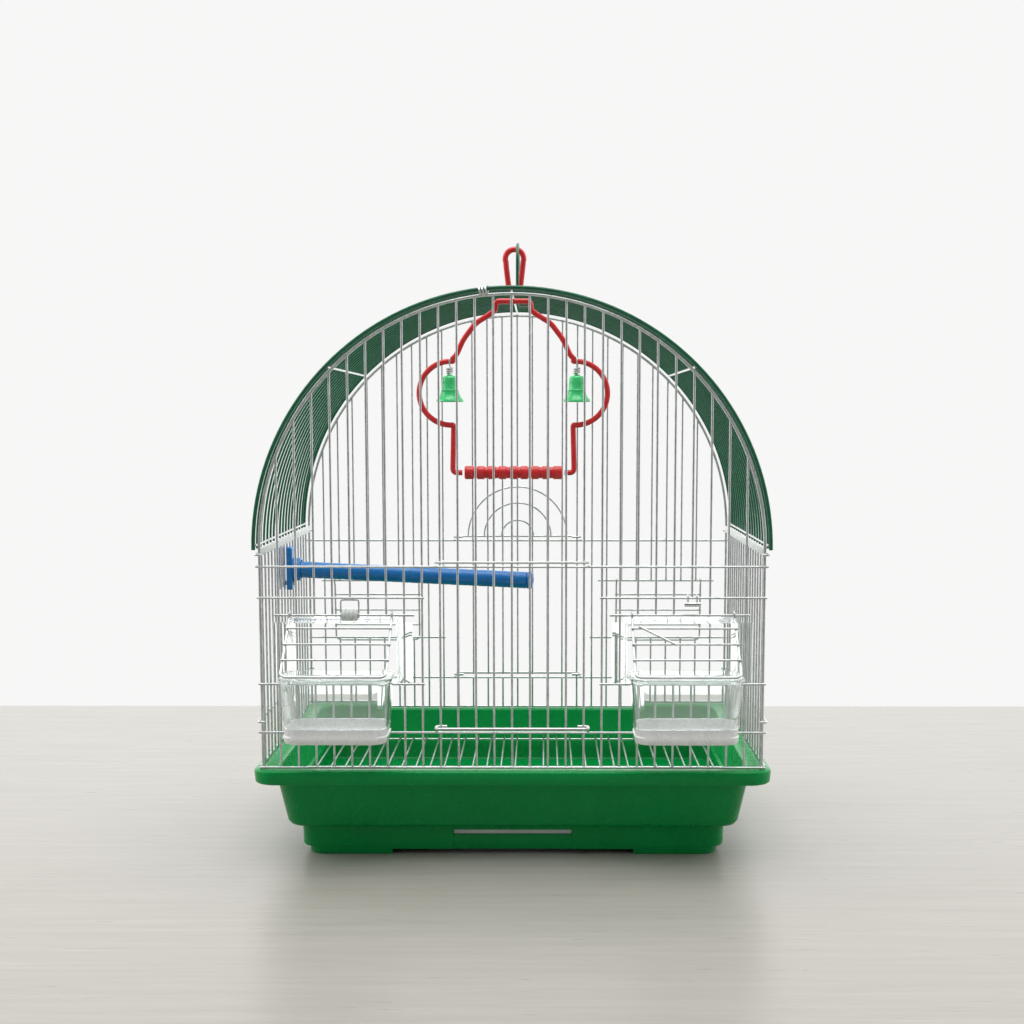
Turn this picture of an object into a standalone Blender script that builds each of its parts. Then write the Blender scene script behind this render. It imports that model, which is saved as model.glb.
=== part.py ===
"""Arched wire bird cage on a plastic tray base: swing with bells, perch, feeders, doors."""
import math

import bmesh
import bpy
from mathutils import Matrix, Vector

MM = 0.001

# Driving dimensions, in millimetres, in a working frame centred on the cage: front at -Y, +Z up.
# At the end all nodes move back by ORIGIN_SHIFT, which puts the origin under the middle of the overall box.
PITCH = 12.0
PITCHES_WIDE = 28
PITCHES_DEEP = 17
HALF_W = PITCH * PITCHES_WIDE / 2
HALF_D = PITCH * PITCHES_DEEP / 2
WIRE_R = 1.0
FRAME_R = 1.25
THIN_R = 0.8
GAP = 0.3
WIRE_STUB = 0.5

FLANGE_TOP = 63.0
BOTTOM_WIRE_Z = FLANGE_TOP + GAP + WIRE_R
SPRING_Z = BOTTOM_WIRE_Z + 144.0
ARCH_Z = SPRING_Z + 3.0
ARCH_R = HALF_W
ARCH_STEPS = 21
LAYER = 1.7

# Heights on the end panels, measured down from the spring line.
DOOR_TOP = 8.0
SHORT_WIRE = 28.8
GATE_HINGE = 40.5
FEEDER_SILL = 87.0
DOOR_SILL = 120.0
LOWER_WIRE = 112.7

# Door: panel wires 10 to 18 border it, and the wires between them stop at its edges.
DOOR_FIRST = 10
DOOR_LAST = 18
# Feeder openings: wires 1 to 8 on the left border one, mirrored on the right.
FEEDER_FIRST = 1
FEEDER_LAST = 8
FEEDER_X = PITCH * 9.5

ROOF_CROSS_R = 170.6
ROOF_WIRE_R = 171.8
ROOF_EDGE_R = 172.0
ROOF_EDGE_WIRE = 1.3
ROOF_STEPS = 4

GATE_HALF_W = 34.0
GATE_REACH = 41.0
GATE_DROP = 34.6

CUP_HALF_W = 37.2
CUP_FRONT = 146.0
CUP_BACK = 105.6
CUP_RIM = 77.0
CUP_FLOOR = 120.0
CUP_WALL = 1.6

TRAY_HALF_D = 110.0
ORIGIN_SHIFT = (CUP_FRONT - TRAY_HALF_D) / 2

SWING_Y = -48.0
SWING_ROD = 1.5
SWING_TOP = ARCH_Z + ROOF_CROSS_R + WIRE_R + GAP + SWING_ROD
BELL_X = 44.0
BELL_MOUTH = SPRING_Z + 101.4
BELL_HEIGHT = 19.0
BELL_ROD_Z = SPRING_Z + 129.6

PERCH_R = 6.0
PERCH_START = Vector((-162.0, 0.0, SPRING_Z - 20.5))
PERCH_END = Vector((13.5, -20.0, SPRING_Z - 26.5))

for old in list(bpy.data.objects):
    bpy.data.objects.remove(old, do_unlink=True)


def material(name, colour, roughness, metallic=0.0, alpha=1.0):
    made = bpy.data.materials.new(name)
    made.use_nodes = True
    shader = made.node_tree.nodes["Principled BSDF"]
    shader.inputs["Base Color"].default_value = (*colour, 1.0)
    shader.inputs["Roughness"].default_value = roughness
    shader.inputs["Metallic"].default_value = metallic
    shader.inputs["Alpha"].default_value = alpha
    return made


ZINC = material("zinc_wire", (0.42, 0.44, 0.44), 0.35, 1.0)
GREEN_COAT = material("green_coated_wire", (0.02, 0.16, 0.08), 0.35)
TRAY_GREEN = material("tray_green", (0.0, 0.3, 0.07), 0.3)
CLEAR = material("clear_plastic", (0.85, 0.9, 0.88), 0.1, 0.0, 0.35)
RED = material("red_plastic", (0.6, 0.03, 0.04), 0.35)
BLUE = material("blue_plastic", (0.0, 0.12, 0.5), 0.35)
BELL_GREEN = material("bell_green", (0.05, 0.55, 0.16), 0.3)
WHITE = material("white_plastic", (0.75, 0.76, 0.74), 0.4)


def new_object(name, mesh, finish):
    made = bpy.data.objects.new(name, mesh)
    bpy.context.scene.collection.objects.link(made)
    mesh.materials.clear()
    mesh.materials.append(finish)
    return made


def evaluated_mesh(source):
    bpy.context.view_layer.update()
    shown = source.evaluated_get(bpy.context.evaluated_depsgraph_get())
    return bpy.data.meshes.new_from_object(shown)


def wires(name, paths, radius, finish, closed=False, sides=4):
    """One mesh object of bent wires; each path is a list of points in millimetres."""
    curve = bpy.data.curves.new(name, "CURVE")
    curve.dimensions = "3D"
    curve.bevel_depth = radius * MM
    curve.bevel_resolution = sides // 2 - 2
    curve.use_fill_caps = True
    for path in paths:
        spline = curve.splines.new("POLY")
        spline.points.add(len(path) - 1)
        for point, place in zip(spline.points, path):
            point.co = (place[0] * MM, place[1] * MM, place[2] * MM, 1.0)
        spline.use_cyclic_u = closed
    shape = bpy.data.objects.new(name + "_path", curve)
    bpy.context.scene.collection.objects.link(shape)
    mesh = evaluated_mesh(shape)
    bpy.data.objects.remove(shape, do_unlink=True)
    body = bmesh.new()
    body.from_mesh(mesh)
    bmesh.ops.remove_doubles(body, verts=body.verts, dist=0.00001)
    bmesh.ops.recalc_face_normals(body, faces=body.faces)
    body.to_mesh(mesh)
    body.free()
    return new_object(name, mesh, finish)


def combine(base, tool, operation="UNION"):
    """Applies one exact Boolean to base and removes the tool."""
    step = base.modifiers.new("combine", "BOOLEAN")
    step.operation = operation
    step.solver = "EXACT"
    step.object = tool
    finish = base.data.materials[0]
    mesh = evaluated_mesh(base)
    base.modifiers.clear()
    base.data = mesh
    mesh.materials.clear()
    mesh.materials.append(finish)
    for face in mesh.polygons:
        face.material_index = 0
    bpy.data.objects.remove(tool, do_unlink=True)
    return base


def box(name, low, high, finish):
    body = bmesh.new()
    bmesh.ops.create_cube(body, size=1.0)
    size = [(b - a) * MM for a, b in zip(low, high)]
    middle = [(a + b) / 2 * MM for a, b in zip(low, high)]
    place = Matrix.Translation(middle) @ Matrix.Diagonal((*size, 1.0))
    bmesh.ops.transform(body, matrix=place, verts=body.verts)
    mesh = bpy.data.meshes.new(name)
    body.to_mesh(mesh)
    body.free()
    return new_object(name, mesh, finish)


def turned(name, profile, place, direction, finish, steps=12):
    """Spins a closed outline of (radius, height) points about a line through place."""
    body = bmesh.new()
    points = [body.verts.new((r * MM, 0.0, h * MM)) for r, h in profile]
    edges = [body.edges.new((points[i], points[(i + 1) % len(points)])) for i in range(len(points))]
    if profile[0][0] == 0.0:
        body.edges.remove(edges[-1])
        edges.pop()
    bmesh.ops.spin(body, geom=points + edges, cent=(0, 0, 0), axis=(0, 0, 1), angle=math.tau,
                   steps=steps, use_merge=True, use_duplicate=False)
    bmesh.ops.remove_doubles(body, verts=body.verts, dist=0.000005)
    bmesh.ops.recalc_face_normals(body, faces=body.faces)
    turn = Vector((0, 0, 1)).rotation_difference(Vector(direction)).to_matrix().to_4x4()
    bmesh.ops.transform(body, matrix=Matrix.Translation(Vector(place) * MM) @ turn, verts=body.verts)
    mesh = bpy.data.meshes.new(name)
    body.to_mesh(mesh)
    body.free()
    return new_object(name, mesh, finish)


def rounded_outline(half_w, half_d, corner, steps=3):
    outline = []
    for turn, (sx, sy) in enumerate(((1, 1), (-1, 1), (-1, -1), (1, -1))):
        for step in range(steps + 1):
            angle = math.radians(90 * turn + 90 * step / steps)
            outline.append((sx * (half_w - corner) + corner * math.cos(angle),
                            sy * (half_d - corner) + corner * math.sin(angle)))
    return outline


def lofted(name, rings, centre, finish):
    """Closed body through rounded rectangles (half width, half depth, corner, height), capped."""
    body = bmesh.new()
    loops = []
    for half_w, half_d, corner, height in rings:
        loops.append([body.verts.new(((centre[0] + x) * MM, (centre[1] + y) * MM, height * MM))
                      for x, y in rounded_outline(half_w, half_d, corner)])
    for lower, upper in zip(loops, loops[1:]):
        for i in range(len(lower)):
            j = (i + 1) % len(lower)
            body.faces.new((lower[i], lower[j], upper[j], upper[i]))
    body.faces.new(loops[0])
    body.faces.new(loops[-1])
    bmesh.ops.recalc_face_normals(body, faces=body.faces)
    mesh = bpy.data.meshes.new(name)
    body.to_mesh(mesh)
    body.free()
    return new_object(name, mesh, finish)


def arc(radius, start, end, steps, centre=(0.0, 0.0)):
    """Points (across, up) on an arc, angles in degrees from +X."""
    points = []
    for step in range(steps + 1):
        angle = math.radians(start + (end - start) * step / steps)
        points.append((centre[0] + radius * math.cos(angle), centre[1] + radius * math.sin(angle)))
    return points


def set_origin(node, place):
    """Moves a node's origin to place, in millimetres, and leaves its shape where it is."""
    offset = Vector(place) * MM
    node.data.transform(Matrix.Translation(-offset))
    node.location = offset


def arch_height(across):
    return ARCH_Z + math.sqrt(max(ARCH_R ** 2 - across ** 2, 0.0))


def wire_x(index):
    return (index - PITCHES_WIDE / 2) * PITCH


def panel(name, side, clip_wires):
    """End panel in the plane y = side * HALF_D: arched frame, uprights and cross wires outside them."""
    plane = side * HALF_D
    front = side * (HALF_D + LAYER)
    frame = [(HALF_W, plane, BOTTOM_WIRE_Z - WIRE_R)]
    frame += [(x, plane, z) for x, z in arc(ARCH_R, 0, 180, ARCH_STEPS, (0.0, ARCH_Z))]
    frame.append((-HALF_W, plane, BOTTOM_WIRE_Z - WIRE_R))
    cross = []
    for drop in (DOOR_TOP, DOOR_SILL, 144.0):
        cross.append([(-HALF_W - 2, front, SPRING_Z - drop), (HALF_W + 2, front, SPRING_Z - drop)])
    for sign in (-1, 1):
        for drop, inner, outer in ((SHORT_WIRE, 58.5, HALF_W + 1.5), (GATE_HINGE, 65.0, 158.5),
                                   (FEEDER_SILL, 58.5, HALF_W + 1.5)):
            cross.append([(sign * inner, front, SPRING_Z - drop), (sign * outer, front, SPRING_Z - drop)])
    uprights = []
    for index in range(1, PITCHES_WIDE):
        x = wire_x(index)
        top = arch_height(x)
        low = BOTTOM_WIRE_Z - 0.7
        mirrored = min(index, PITCHES_WIDE - index)
        if DOOR_FIRST < index < DOOR_LAST:
            breaks = [(top, SPRING_Z - DOOR_TOP - 0.7), (SPRING_Z - DOOR_SILL + 0.7, low)]
        elif FEEDER_FIRST < mirrored < FEEDER_LAST:
            stop = SHORT_WIRE if index in clip_wires else GATE_HINGE
            breaks = [(top, SPRING_Z - stop - 0.7), (SPRING_Z - FEEDER_SILL + 0.7, low)]
        else:
            breaks = [(top, low)]
        uprights += [[(x, plane, a), (x, plane, b)] for a, b in breaks]
    made = wires(name, uprights, WIRE_R, ZINC)
    rest = wires(name + "_cross", cross, WIRE_R, ZINC)
    ring = wires(name + "_frame", [frame], FRAME_R, ZINC)
    return combine(combine(made, ring), rest)


def side_panel(name, side):
    """Side grille whose cross wires hook round the end panels' corner wires."""
    plane = side * (HALF_W + 0.9)
    outer = side * (HALF_W + 0.9 + LAYER)
    top = SPRING_Z
    reach = HALF_D + 2.8
    cross = []
    for drop in (0.0, LOWER_WIRE):
        z = SPRING_Z - drop
        cross.append([(side * (HALF_W - 2.0), -reach, z), (outer, -reach, z), (outer, reach, z),
                      (side * (HALF_W - 2.0), reach, z)])
    cross.append([(outer, -HALF_D + 2.0, BOTTOM_WIRE_Z), (outer, HALF_D - 2.0, BOTTOM_WIRE_Z)])
    uprights = []
    for index in range(1, PITCHES_DEEP):
        y = index * PITCH - HALF_D
        uprights.append([(plane, y, top + 0.7), (plane, y, BOTTOM_WIRE_Z - 0.7)])
    made = wires(name, uprights, WIRE_R, ZINC)
    return combine(made, wires(name + "_cross", cross, WIRE_R, ZINC))


def roof_section(name, start, end, cross_angles):
    """A quarter of the roof: green wires bent over the arch, on cross wires."""
    hoops = []
    for index in range(1, PITCHES_DEEP):
        y = index * PITCH - HALF_D
        hoops.append([(x, y, z) for x, z in arc(ROOF_WIRE_R, start, end, ROOF_STEPS, (0.0, ARCH_Z))])
    edges = []
    for side in (-1, 1):
        bend = arc(ROOF_EDGE_R, start, end, ROOF_STEPS, (0.0, ARCH_Z))
        edges.append([(x, side * HALF_D, z) for x, z in bend])
    cross = []
    for angle in cross_angles:
        x = ROOF_CROSS_R * math.cos(math.radians(angle))
        z = ARCH_Z + ROOF_CROSS_R * math.sin(math.radians(angle))
        cross.append([(x, -HALF_D - WIRE_STUB, z), (x, HALF_D + WIRE_STUB, z)])
    made = wires(name, hoops, WIRE_R, GREEN_COAT)
    combine(made, wires(name + "_cross", cross, WIRE_R, ZINC))
    return combine(made, wires(name + "_edges", edges, ROOF_EDGE_WIRE, GREEN_COAT))


def roof():
    """Four sections that meet at the cross wires, each wire stopping just short of its neighbour."""
    lap = 0.2
    stop = 0.45
    roof_section("roof_right_lower", 0.0, 45.0 - stop, (1.0,))
    roof_section("roof_right_upper", 45.0 - lap, 90.0 - stop, (45.0,))
    roof_section("roof_left_upper", 90.0 - lap, 135.0 + lap, (90.0, 135.0))
    roof_section("roof_left_lower", 135.0 + stop, 180.0, (179.0,))


def door(name, side, with_hoops):
    """Sliding grille in front of its panel, hooked round the two border uprights."""
    plane = side * (HALF_D + LAYER + 2.4)
    bars = side * (HALF_D + LAYER + 2.4 + LAYER)
    behind = side * (HALF_D - 2.6)
    top = SPRING_Z - DOOR_TOP + 3.2
    bottom = SPRING_Z - DOOR_SILL + 3.2
    border = wire_x(DOOR_LAST)
    uprights = []
    for index in range(DOOR_FIRST + 1, DOOR_LAST):
        x = wire_x(index)
        uprights.append([(x, plane, top + 0.7), (x, plane, bottom - 0.7)])
    cross = []
    for z in (top, bottom):
        corners = ((border - 4.0, behind), (border + 3.0, behind), (border + 3.0, bars))
        hook = [(x, y, z) for x, y in corners]
        cross.append(hook + [(-x, y, z) for x, y, z in reversed(hook)])
    made = wires(name, uprights, WIRE_R, ZINC)
    if with_hoops:
        radii = (13.0, 27.0, 40.0)
        hoops = [[(x, bars, z) for x, z in arc(radius, 0, 180, 8, (0.0, top))] for radius in radii]
        for path in hoops:
            for end in (0, -1):
                x, y, z = path[end]
                path[end] = (x, y, z - 0.2)
        combine(made, wires(name + "_hoops", hoops, THIN_R, ZINC))
    return combine(made, wires(name + "_cross", cross, WIRE_R, ZINC))


def ring_path(x, y, z, radius, sides=8):
    return [(x, y + radius * math.cos(math.tau * i / sides), z + radius * math.sin(math.tau * i / sides))
            for i in range(sides)]


def gate(name, side, centre, reach, fall, stay_x=None):
    """Feeder gate hung from the panel's hinge wire by two loops."""
    hinge_y = side * (HALF_D + LAYER)
    hinge_z = SPRING_Z - GATE_HINGE
    loop_r = 2.6
    length = math.hypot(reach, fall)
    out = reach / length
    down = fall / length

    def at(x, distance):
        return (x, hinge_y + side * out * distance, hinge_z - down * distance)

    ends = (centre - GATE_HALF_W, centre + GATE_HALF_W)
    rim = [at(ends[0], loop_r - 0.3), at(ends[0], length - 4.0), at(ends[0] + 4.0, length),
           at(ends[1] - 4.0, length), at(ends[1], length - 4.0), at(ends[1], loop_r - 0.3)]
    made = wires(name, [rim], WIRE_R, ZINC)
    cross = []
    for share in (0.24, 0.5, 0.75):
        y_lift = side * down * LAYER * 0.8
        z_lift = out * LAYER * 0.8
        row = [at(x, length * share) for x in (ends[0] - 1.2, ends[1] + 1.2)]
        cross.append([(x, y + y_lift, z + z_lift) for x, y, z in row])
    if stay_x is not None:
        row = [at(stay_x, length * 0.22), at(stay_x + 24.0, length * 0.52)]
        cross.append([(x, y + side * down * 2.2, z + out * 2.2) for x, y, z in row])
    combine(made, wires(name + "_cross", cross, THIN_R, ZINC))
    loops = [ring_path(x, hinge_y, hinge_z, loop_r) for x in ends]
    combine(made, wires(name + "_loops", loops, THIN_R, ZINC, closed=True))
    set_origin(made, (centre, hinge_y, hinge_z))
    return made


def cup(name, centre):
    """Clear feeder cup hung outside the panel, with a tongue over the feeder sill."""
    middle = (centre, -(CUP_FRONT + CUP_BACK) / 2)
    half_d = (CUP_FRONT - CUP_BACK) / 2
    rim = SPRING_Z - CUP_RIM
    floor = SPRING_Z - CUP_FLOOR
    taper = 3.6
    rings = [(CUP_HALF_W - taper - 3.0, half_d - 4.0, 6.0, floor),
             (CUP_HALF_W - taper, half_d - 1.2, 8.0, floor + 3.0),
             (CUP_HALF_W - 0.6, half_d - 0.3, 8.0, rim - 3.0),
             (CUP_HALF_W, half_d, 8.0, rim),
             (CUP_HALF_W - CUP_WALL, half_d - CUP_WALL, 7.0, rim),
             (CUP_HALF_W - taper - CUP_WALL, half_d - 1.2 - CUP_WALL, 6.5, floor + 5.0),
             (CUP_HALF_W - taper - 5.0, half_d - 6.0, 5.0, floor + 2.4)]
    made = lofted(name, rings, middle, CLEAR)
    tongue = box(name + "_tongue", (centre - 32.0, -CUP_BACK - 1.0, rim - 6.5),
                 (centre + 32.0, -HALF_D + 6.0, rim - 4.9), CLEAR)
    return combine(made, tongue)


def hood(name, centre):
    """Clear splash guard inside the panel, round the feeder opening."""
    low = SPRING_Z - 90.0
    high = SPRING_Z - 45.0
    face = -HALF_D + 3.4
    made = box(name, (centre - 38.0, face, low), (centre + 38.0, face + 27.0, high), CLEAR)
    wing = box(name + "_wing", (centre - 47.0, face - 0.4, low + 1.0),
               (centre + 47.0, face + 1.2, high - 1.0), CLEAR)
    combine(made, wing)
    tunnel = box(name + "_tunnel", (centre - 36.4, face - 5.0, low + 1.6),
                 (centre + 36.4, face + 40.0, high - 1.6), CLEAR)
    return combine(made, tunnel, "DIFFERENCE")


def tray():
    """Drafted tray with a wide flange, a ledge for the grate and a hollow plinth under the floor."""
    rings = [(141.0, 89.0, 12.0, 0.0),
             (141.3, 89.2, 12.0, 5.0),
             (145.6, 89.3, 12.0, 5.4),
             (146.0, 90.0, 12.0, 20.6),
             (151.8, 94.5, 13.0, 20.9),
             (154.8, 98.0, 15.0, 24.0),
             (161.0, 101.5, 15.0, 53.0),
             (175.0, 109.5, 15.0, 53.5),
             (175.5, TRAY_HALF_D, 15.5, 61.5),
             (174.0, 108.5, 14.0, FLANGE_TOP),
             (159.2, 99.3, 13.0, FLANGE_TOP),
             (156.4, 97.4, 13.0, 38.7),
             (153.4, 94.4, 12.0, 38.3),
             (151.9, 93.5, 12.0, 23.2)]
    made = lofted("base_tray", rings, (0.0, 0.0), TRAY_GREEN)
    hollow_rings = [(136.5, 84.5, 9.0, -2.0), (141.5, 86.0, 9.0, 18.4)]
    hollow = lofted("plinth_hollow", hollow_rings, (0.0, 0.0), TRAY_GREEN)
    combine(made, hollow, "DIFFERENCE")
    slot = box("plinth_slot", (-41.0, -120.0, 13.8), (41.0, 120.0, 17.4), TRAY_GREEN)
    combine(made, slot, "DIFFERENCE")
    relief = box("plinth_relief", (-83.0, -120.0, -2.0), (83.0, 120.0, 3.6), TRAY_GREEN)
    return combine(made, relief, "DIFFERENCE")


def grate():
    z = 39.9
    spacing = 10.5
    rods = []
    for index in range(29):
        x = (index - 14) * spacing
        rods.append([(x, -95.9, z + 1.5), (x, 95.9, z + 1.5)])
    cross = [[(-x, y, z), (x, y, z)] for x, y in ((152.9, -91.0), (154.9, -3.0), (152.9, 91.0))]
    made = wires("floor_grate", rods, THIN_R, ZINC)
    return combine(made, wires("grate_cross", cross, WIRE_R, ZINC))


def swing():
    """Rod bent to a clover outline that hangs by its top bar from the roof's middle cross wire."""
    half = [(12.0, SWING_TOP), (12.3, SPRING_Z + 164.6), (16.0, SPRING_Z + 161.5), (26.0, SPRING_Z + 155.4),
            (34.5, SPRING_Z + 144.3), (39.2, SPRING_Z + 134.0), (42.0, SPRING_Z + 131.0)]
    lobe_z = SPRING_Z + 107.4
    half += [(x, z) for x, z in arc(22.0, 95, -95, 9, (43.4, lobe_z))]
    half += [(41.6, SPRING_Z + 81.5), (42.3, SPRING_Z + 52.4)]
    path = [(x, SWING_Y, z) for x, z in half] + [(35.6, SWING_Y, SPRING_Z + 52.4)]
    path = [(-x, y, z) for x, y, z in reversed(path)] + path
    made = wires("swing_frame", [path], SWING_ROD, RED, sides=6)
    set_origin(made, (0.0, SWING_Y, SWING_TOP))
    return made


def swing_perch():
    z = SPRING_Z + 52.4
    half = 34.0
    outline = [(0.0, 0.0), (4.7, 0.0)]
    ribs = 4
    for rib in range(1, ribs):
        place = 2 * half * rib / ribs
        outline += [(4.7, place - 1.6), (4.0, place - 0.8), (4.0, place + 0.8), (4.7, place + 1.6)]
    outline += [(4.7, 2 * half), (0.0, 2 * half)]
    made = turned("swing_perch", outline, (-half, SWING_Y, z), (1, 0, 0), RED, 10)
    set_origin(made, (0.0, SWING_Y, z))
    return made


def bell(name, sign):
    """Flared bell with its crown hole, a wire loop over the swing's rod, and a clapper."""
    x = sign * BELL_X
    outline = [(9.3, 0.0), (7.6, 2.6), (5.8, 6.5), (5.3, 13.0), (4.2, 17.5), (1.4, BELL_HEIGHT),
               (1.4, BELL_HEIGHT - 1.2), (3.2, 16.4), (4.3, 12.6), (4.8, 6.2), (6.6, 2.2), (8.2, 0.0)]
    shell = turned(name + "_shell", outline, (x, SWING_Y, BELL_MOUTH), (0, 0, 1), BELL_GREEN)
    pivot = (x, SWING_Y, BELL_ROD_Z)
    set_origin(shell, pivot)
    loop = [(x, SWING_Y + y, z) for y, z in arc(2.7, -60, 240, 10, (0.0, BELL_ROD_Z))]
    top = BELL_MOUTH + BELL_HEIGHT
    path = loop + [(x, SWING_Y, top + 3.0), (x, SWING_Y, top - 4.5)]
    eye = [(x, SWING_Y + y, z) for y, z in arc(1.5, 90, 330, 6, (0.0, top - 6.0))]
    hanger = wires(name + "_hanger", [path + eye], 0.5, ZINC)
    set_origin(hanger, pivot)
    return shell, hanger


def clapper(name, sign):
    x = sign * BELL_X
    top = BELL_MOUTH + BELL_HEIGHT - 6.0
    stem = 6.0
    path = [(x + dx, SWING_Y, z) for dx, z in arc(1.7, 270, -30, 8, (0.0, top - 1.5))]
    ball_z = top - 1.5 - 1.7 - stem + 2.4
    made = turned(name, [(0.0, -2.0), (1.4, -1.4), (2.0, 0.0), (1.4, 1.4), (0.0, 2.0)],
                  (x, SWING_Y, ball_z), (0, 0, 1), ZINC, 8)
    wire = wires(name + "_wire", [path[::-1] + [(x, SWING_Y, ball_z + 0.5)]], 0.4, ZINC)
    combine(made, wire)
    set_origin(made, (x, SWING_Y, top - 1.5))
    return made


def perch():
    """Side perch: rod, end cap, two clamp plates either side of the side grille, and their screw."""
    direction = (PERCH_END - PERCH_START).normalized()
    length = (PERCH_END - PERCH_START).length
    rod = turned("perch_rod", [(0.0, 0.0), (PERCH_R, 0.0), (PERCH_R, length - 4.3), (0.0, length - 4.3)],
                 PERCH_START, direction, BLUE)
    set_origin(rod, PERCH_START)
    cap_start = PERCH_START + direction * (length - 4.0)
    cap = turned("perch_end_cap", [(0.0, 0.0), (6.2, 0.0), (6.2, 2.6), (5.0, 4.0), (0.0, 4.0)],
                 cap_start, direction, BLUE)
    set_origin(cap, PERCH_START)
    low = SPRING_Z - 35.0
    high = SPRING_Z - 4.0
    screw_z = SPRING_Z - 30.5
    for name, x_low, x_high in (("perch_clamp_inner", -167.4, -163.0), ("perch_clamp_outer", -174.2, -171.9)):
        plate = box(name, (x_low, -7.5, low), (x_high, 7.5, high), BLUE)
        hole = turned(name + "_hole", [(0.0, -5.0), (2.2, -5.0), (2.2, 8.0), (0.0, 8.0)],
                      (x_low, 0.0, screw_z), (1, 0, 0), BLUE, 8)
        combine(plate, hole, "DIFFERENCE")
    screw_outline = [(0.0, 0.0), (3.4, 0.0), (3.4, 1.0), (1.8, 1.0), (1.8, 14.5), (0.0, 14.5)]
    turned("perch_clamp_screw", screw_outline, (-175.5, 0.0, screw_z), (1, 0, 0), ZINC, 10)


def handle():
    """Carrying loop in the middle plane, its ends wrapped over two roof wires."""
    foot = ARCH_Z + ROOF_WIRE_R
    loop_r = 2.3
    reach = PITCH * 1.5
    plane = 2.4
    top = SPRING_Z + 214.6
    bow_r = 14.0
    wrap = [(plane, y, z) for y, z in arc(loop_r, -150, 90, 8, (reach, foot))]
    bow = [(plane, reach * math.cos(math.radians(a)), top - bow_r + bow_r * math.sin(math.radians(a)))
           for a in range(0, 91, 15)]
    half = wrap + [(plane, reach, foot + loop_r + 2.0)] + bow
    path = half + [(x, -y, z) for x, y, z in reversed(half[:-1])]
    return wires("carry_handle", [path], WIRE_R, GREEN_COAT)


def hanging_loop():
    """Red teardrop loop whose two legs straddle the roof's middle cross wire."""
    centre_z = SPRING_Z + 202.2
    radius = 7.4
    leg = [(3.1, ARCH_Z + ROOF_CROSS_R - 6.0), (3.1, ARCH_Z + ROOF_WIRE_R + 5.0)]
    half = leg + arc(radius, -35, 90, 6, (0.0, centre_z))
    path = [(x, 0.0, z) for x, z in half]
    path += [(-x, y, z) for x, y, z in reversed(path[:-1])]
    return wires("hanging_loop", [path], 1.7, RED, sides=6)


def gate_hardware():
    hinge_y = -(HALF_D + LAYER)
    turned("left_gate_roller", [(1.6, 0.0), (3.9, 0.0), (3.9, 10.6), (1.6, 10.6)],
           (wire_x(5) - 5.3, hinge_y, SPRING_Z - GATE_HINGE), (1, 0, 0), WHITE, 10)
    clip_x = wire_x(24)
    clip_z = SPRING_Z - SHORT_WIRE
    rod_y = hinge_y - 1.9
    rod = [(clip_x - 5.5, rod_y, clip_z - 4.0), (clip_x + 5.5, rod_y, clip_z - 4.0)]
    clip = wires("right_gate_clip", [rod], 1.5, ZINC, sides=6)
    hooks = []
    for x in (clip_x - 3.0, clip_x + 3.0):
        bend = [(x, y, z) for y, z in arc(2.0, 200, -40, 12, (hinge_y, clip_z))]
        hooks.append([(x, rod_y, clip_z - 3.6)] + bend)
    combine(clip, wires("clip_hooks", hooks, 0.55, ZINC))


def arch_clip():
    """Small wire clip that ties the roof's front wire to the front panel's arch."""
    angle = math.radians(96.1)
    middle = Vector((170.2 * math.cos(angle), -HALF_D, ARCH_Z + 170.2 * math.sin(angle)))
    points = []
    for step in range(11):
        turn = math.radians(70 + 30 * step)
        across = 5.0 * math.cos(turn)
        along = 2.6 * math.sin(turn)
        points.append(middle + Vector((math.cos(angle) * across, along, math.sin(angle) * across)))
    wires("roof_clip", [points], 0.8, ZINC)


def build():
    tray()
    grate()
    panel("front_panel", -1, (5, 24))
    panel("rear_panel", 1, ())
    for name, side in (("left", -1), ("right", 1)):
        side_panel(name + "_side_panel", side)
    roof()
    door("front_door", -1, False)
    door("rear_door", 1, True)
    for name, side in (("left", -1), ("right", 1)):
        centre = side * FEEDER_X
        gate(name + "_feeder_gate", -1, centre, GATE_REACH, GATE_DROP, 84.0 if side > 0 else None)
        gate(name + "_rear_gate", 1, centre, 3.6, 49.0)
        cup(name + "_feeder_cup", centre)
        hood(name + "_feeder_hood", centre)
    swing()
    swing_perch()
    for name, sign in (("left_bell", -1), ("right_bell", 1)):
        bell(name, sign)
        clapper(name + "_clapper", sign)
    perch()
    handle()
    hanging_loop()
    gate_hardware()
    arch_clip()
    for node in bpy.data.objects:
        node.location.y += ORIGIN_SHIFT * MM


build()
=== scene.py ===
import math

import bpy
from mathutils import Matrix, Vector


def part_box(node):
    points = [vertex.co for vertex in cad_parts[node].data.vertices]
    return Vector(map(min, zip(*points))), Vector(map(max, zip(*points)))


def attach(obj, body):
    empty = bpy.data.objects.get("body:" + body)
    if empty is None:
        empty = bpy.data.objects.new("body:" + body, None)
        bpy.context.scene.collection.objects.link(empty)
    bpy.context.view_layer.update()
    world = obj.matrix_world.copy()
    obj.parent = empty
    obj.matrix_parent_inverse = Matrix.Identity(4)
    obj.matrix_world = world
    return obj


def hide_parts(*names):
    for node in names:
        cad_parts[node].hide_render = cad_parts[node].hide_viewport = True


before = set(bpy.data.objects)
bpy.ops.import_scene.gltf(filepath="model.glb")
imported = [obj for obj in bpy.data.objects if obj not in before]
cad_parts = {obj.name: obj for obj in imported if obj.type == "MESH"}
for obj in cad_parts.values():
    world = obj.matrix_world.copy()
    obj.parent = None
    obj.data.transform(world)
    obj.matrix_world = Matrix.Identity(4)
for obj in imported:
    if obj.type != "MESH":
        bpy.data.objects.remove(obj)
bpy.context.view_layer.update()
print("frame loaded,", len(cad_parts), "nodes")

mm = 0.001

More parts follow.
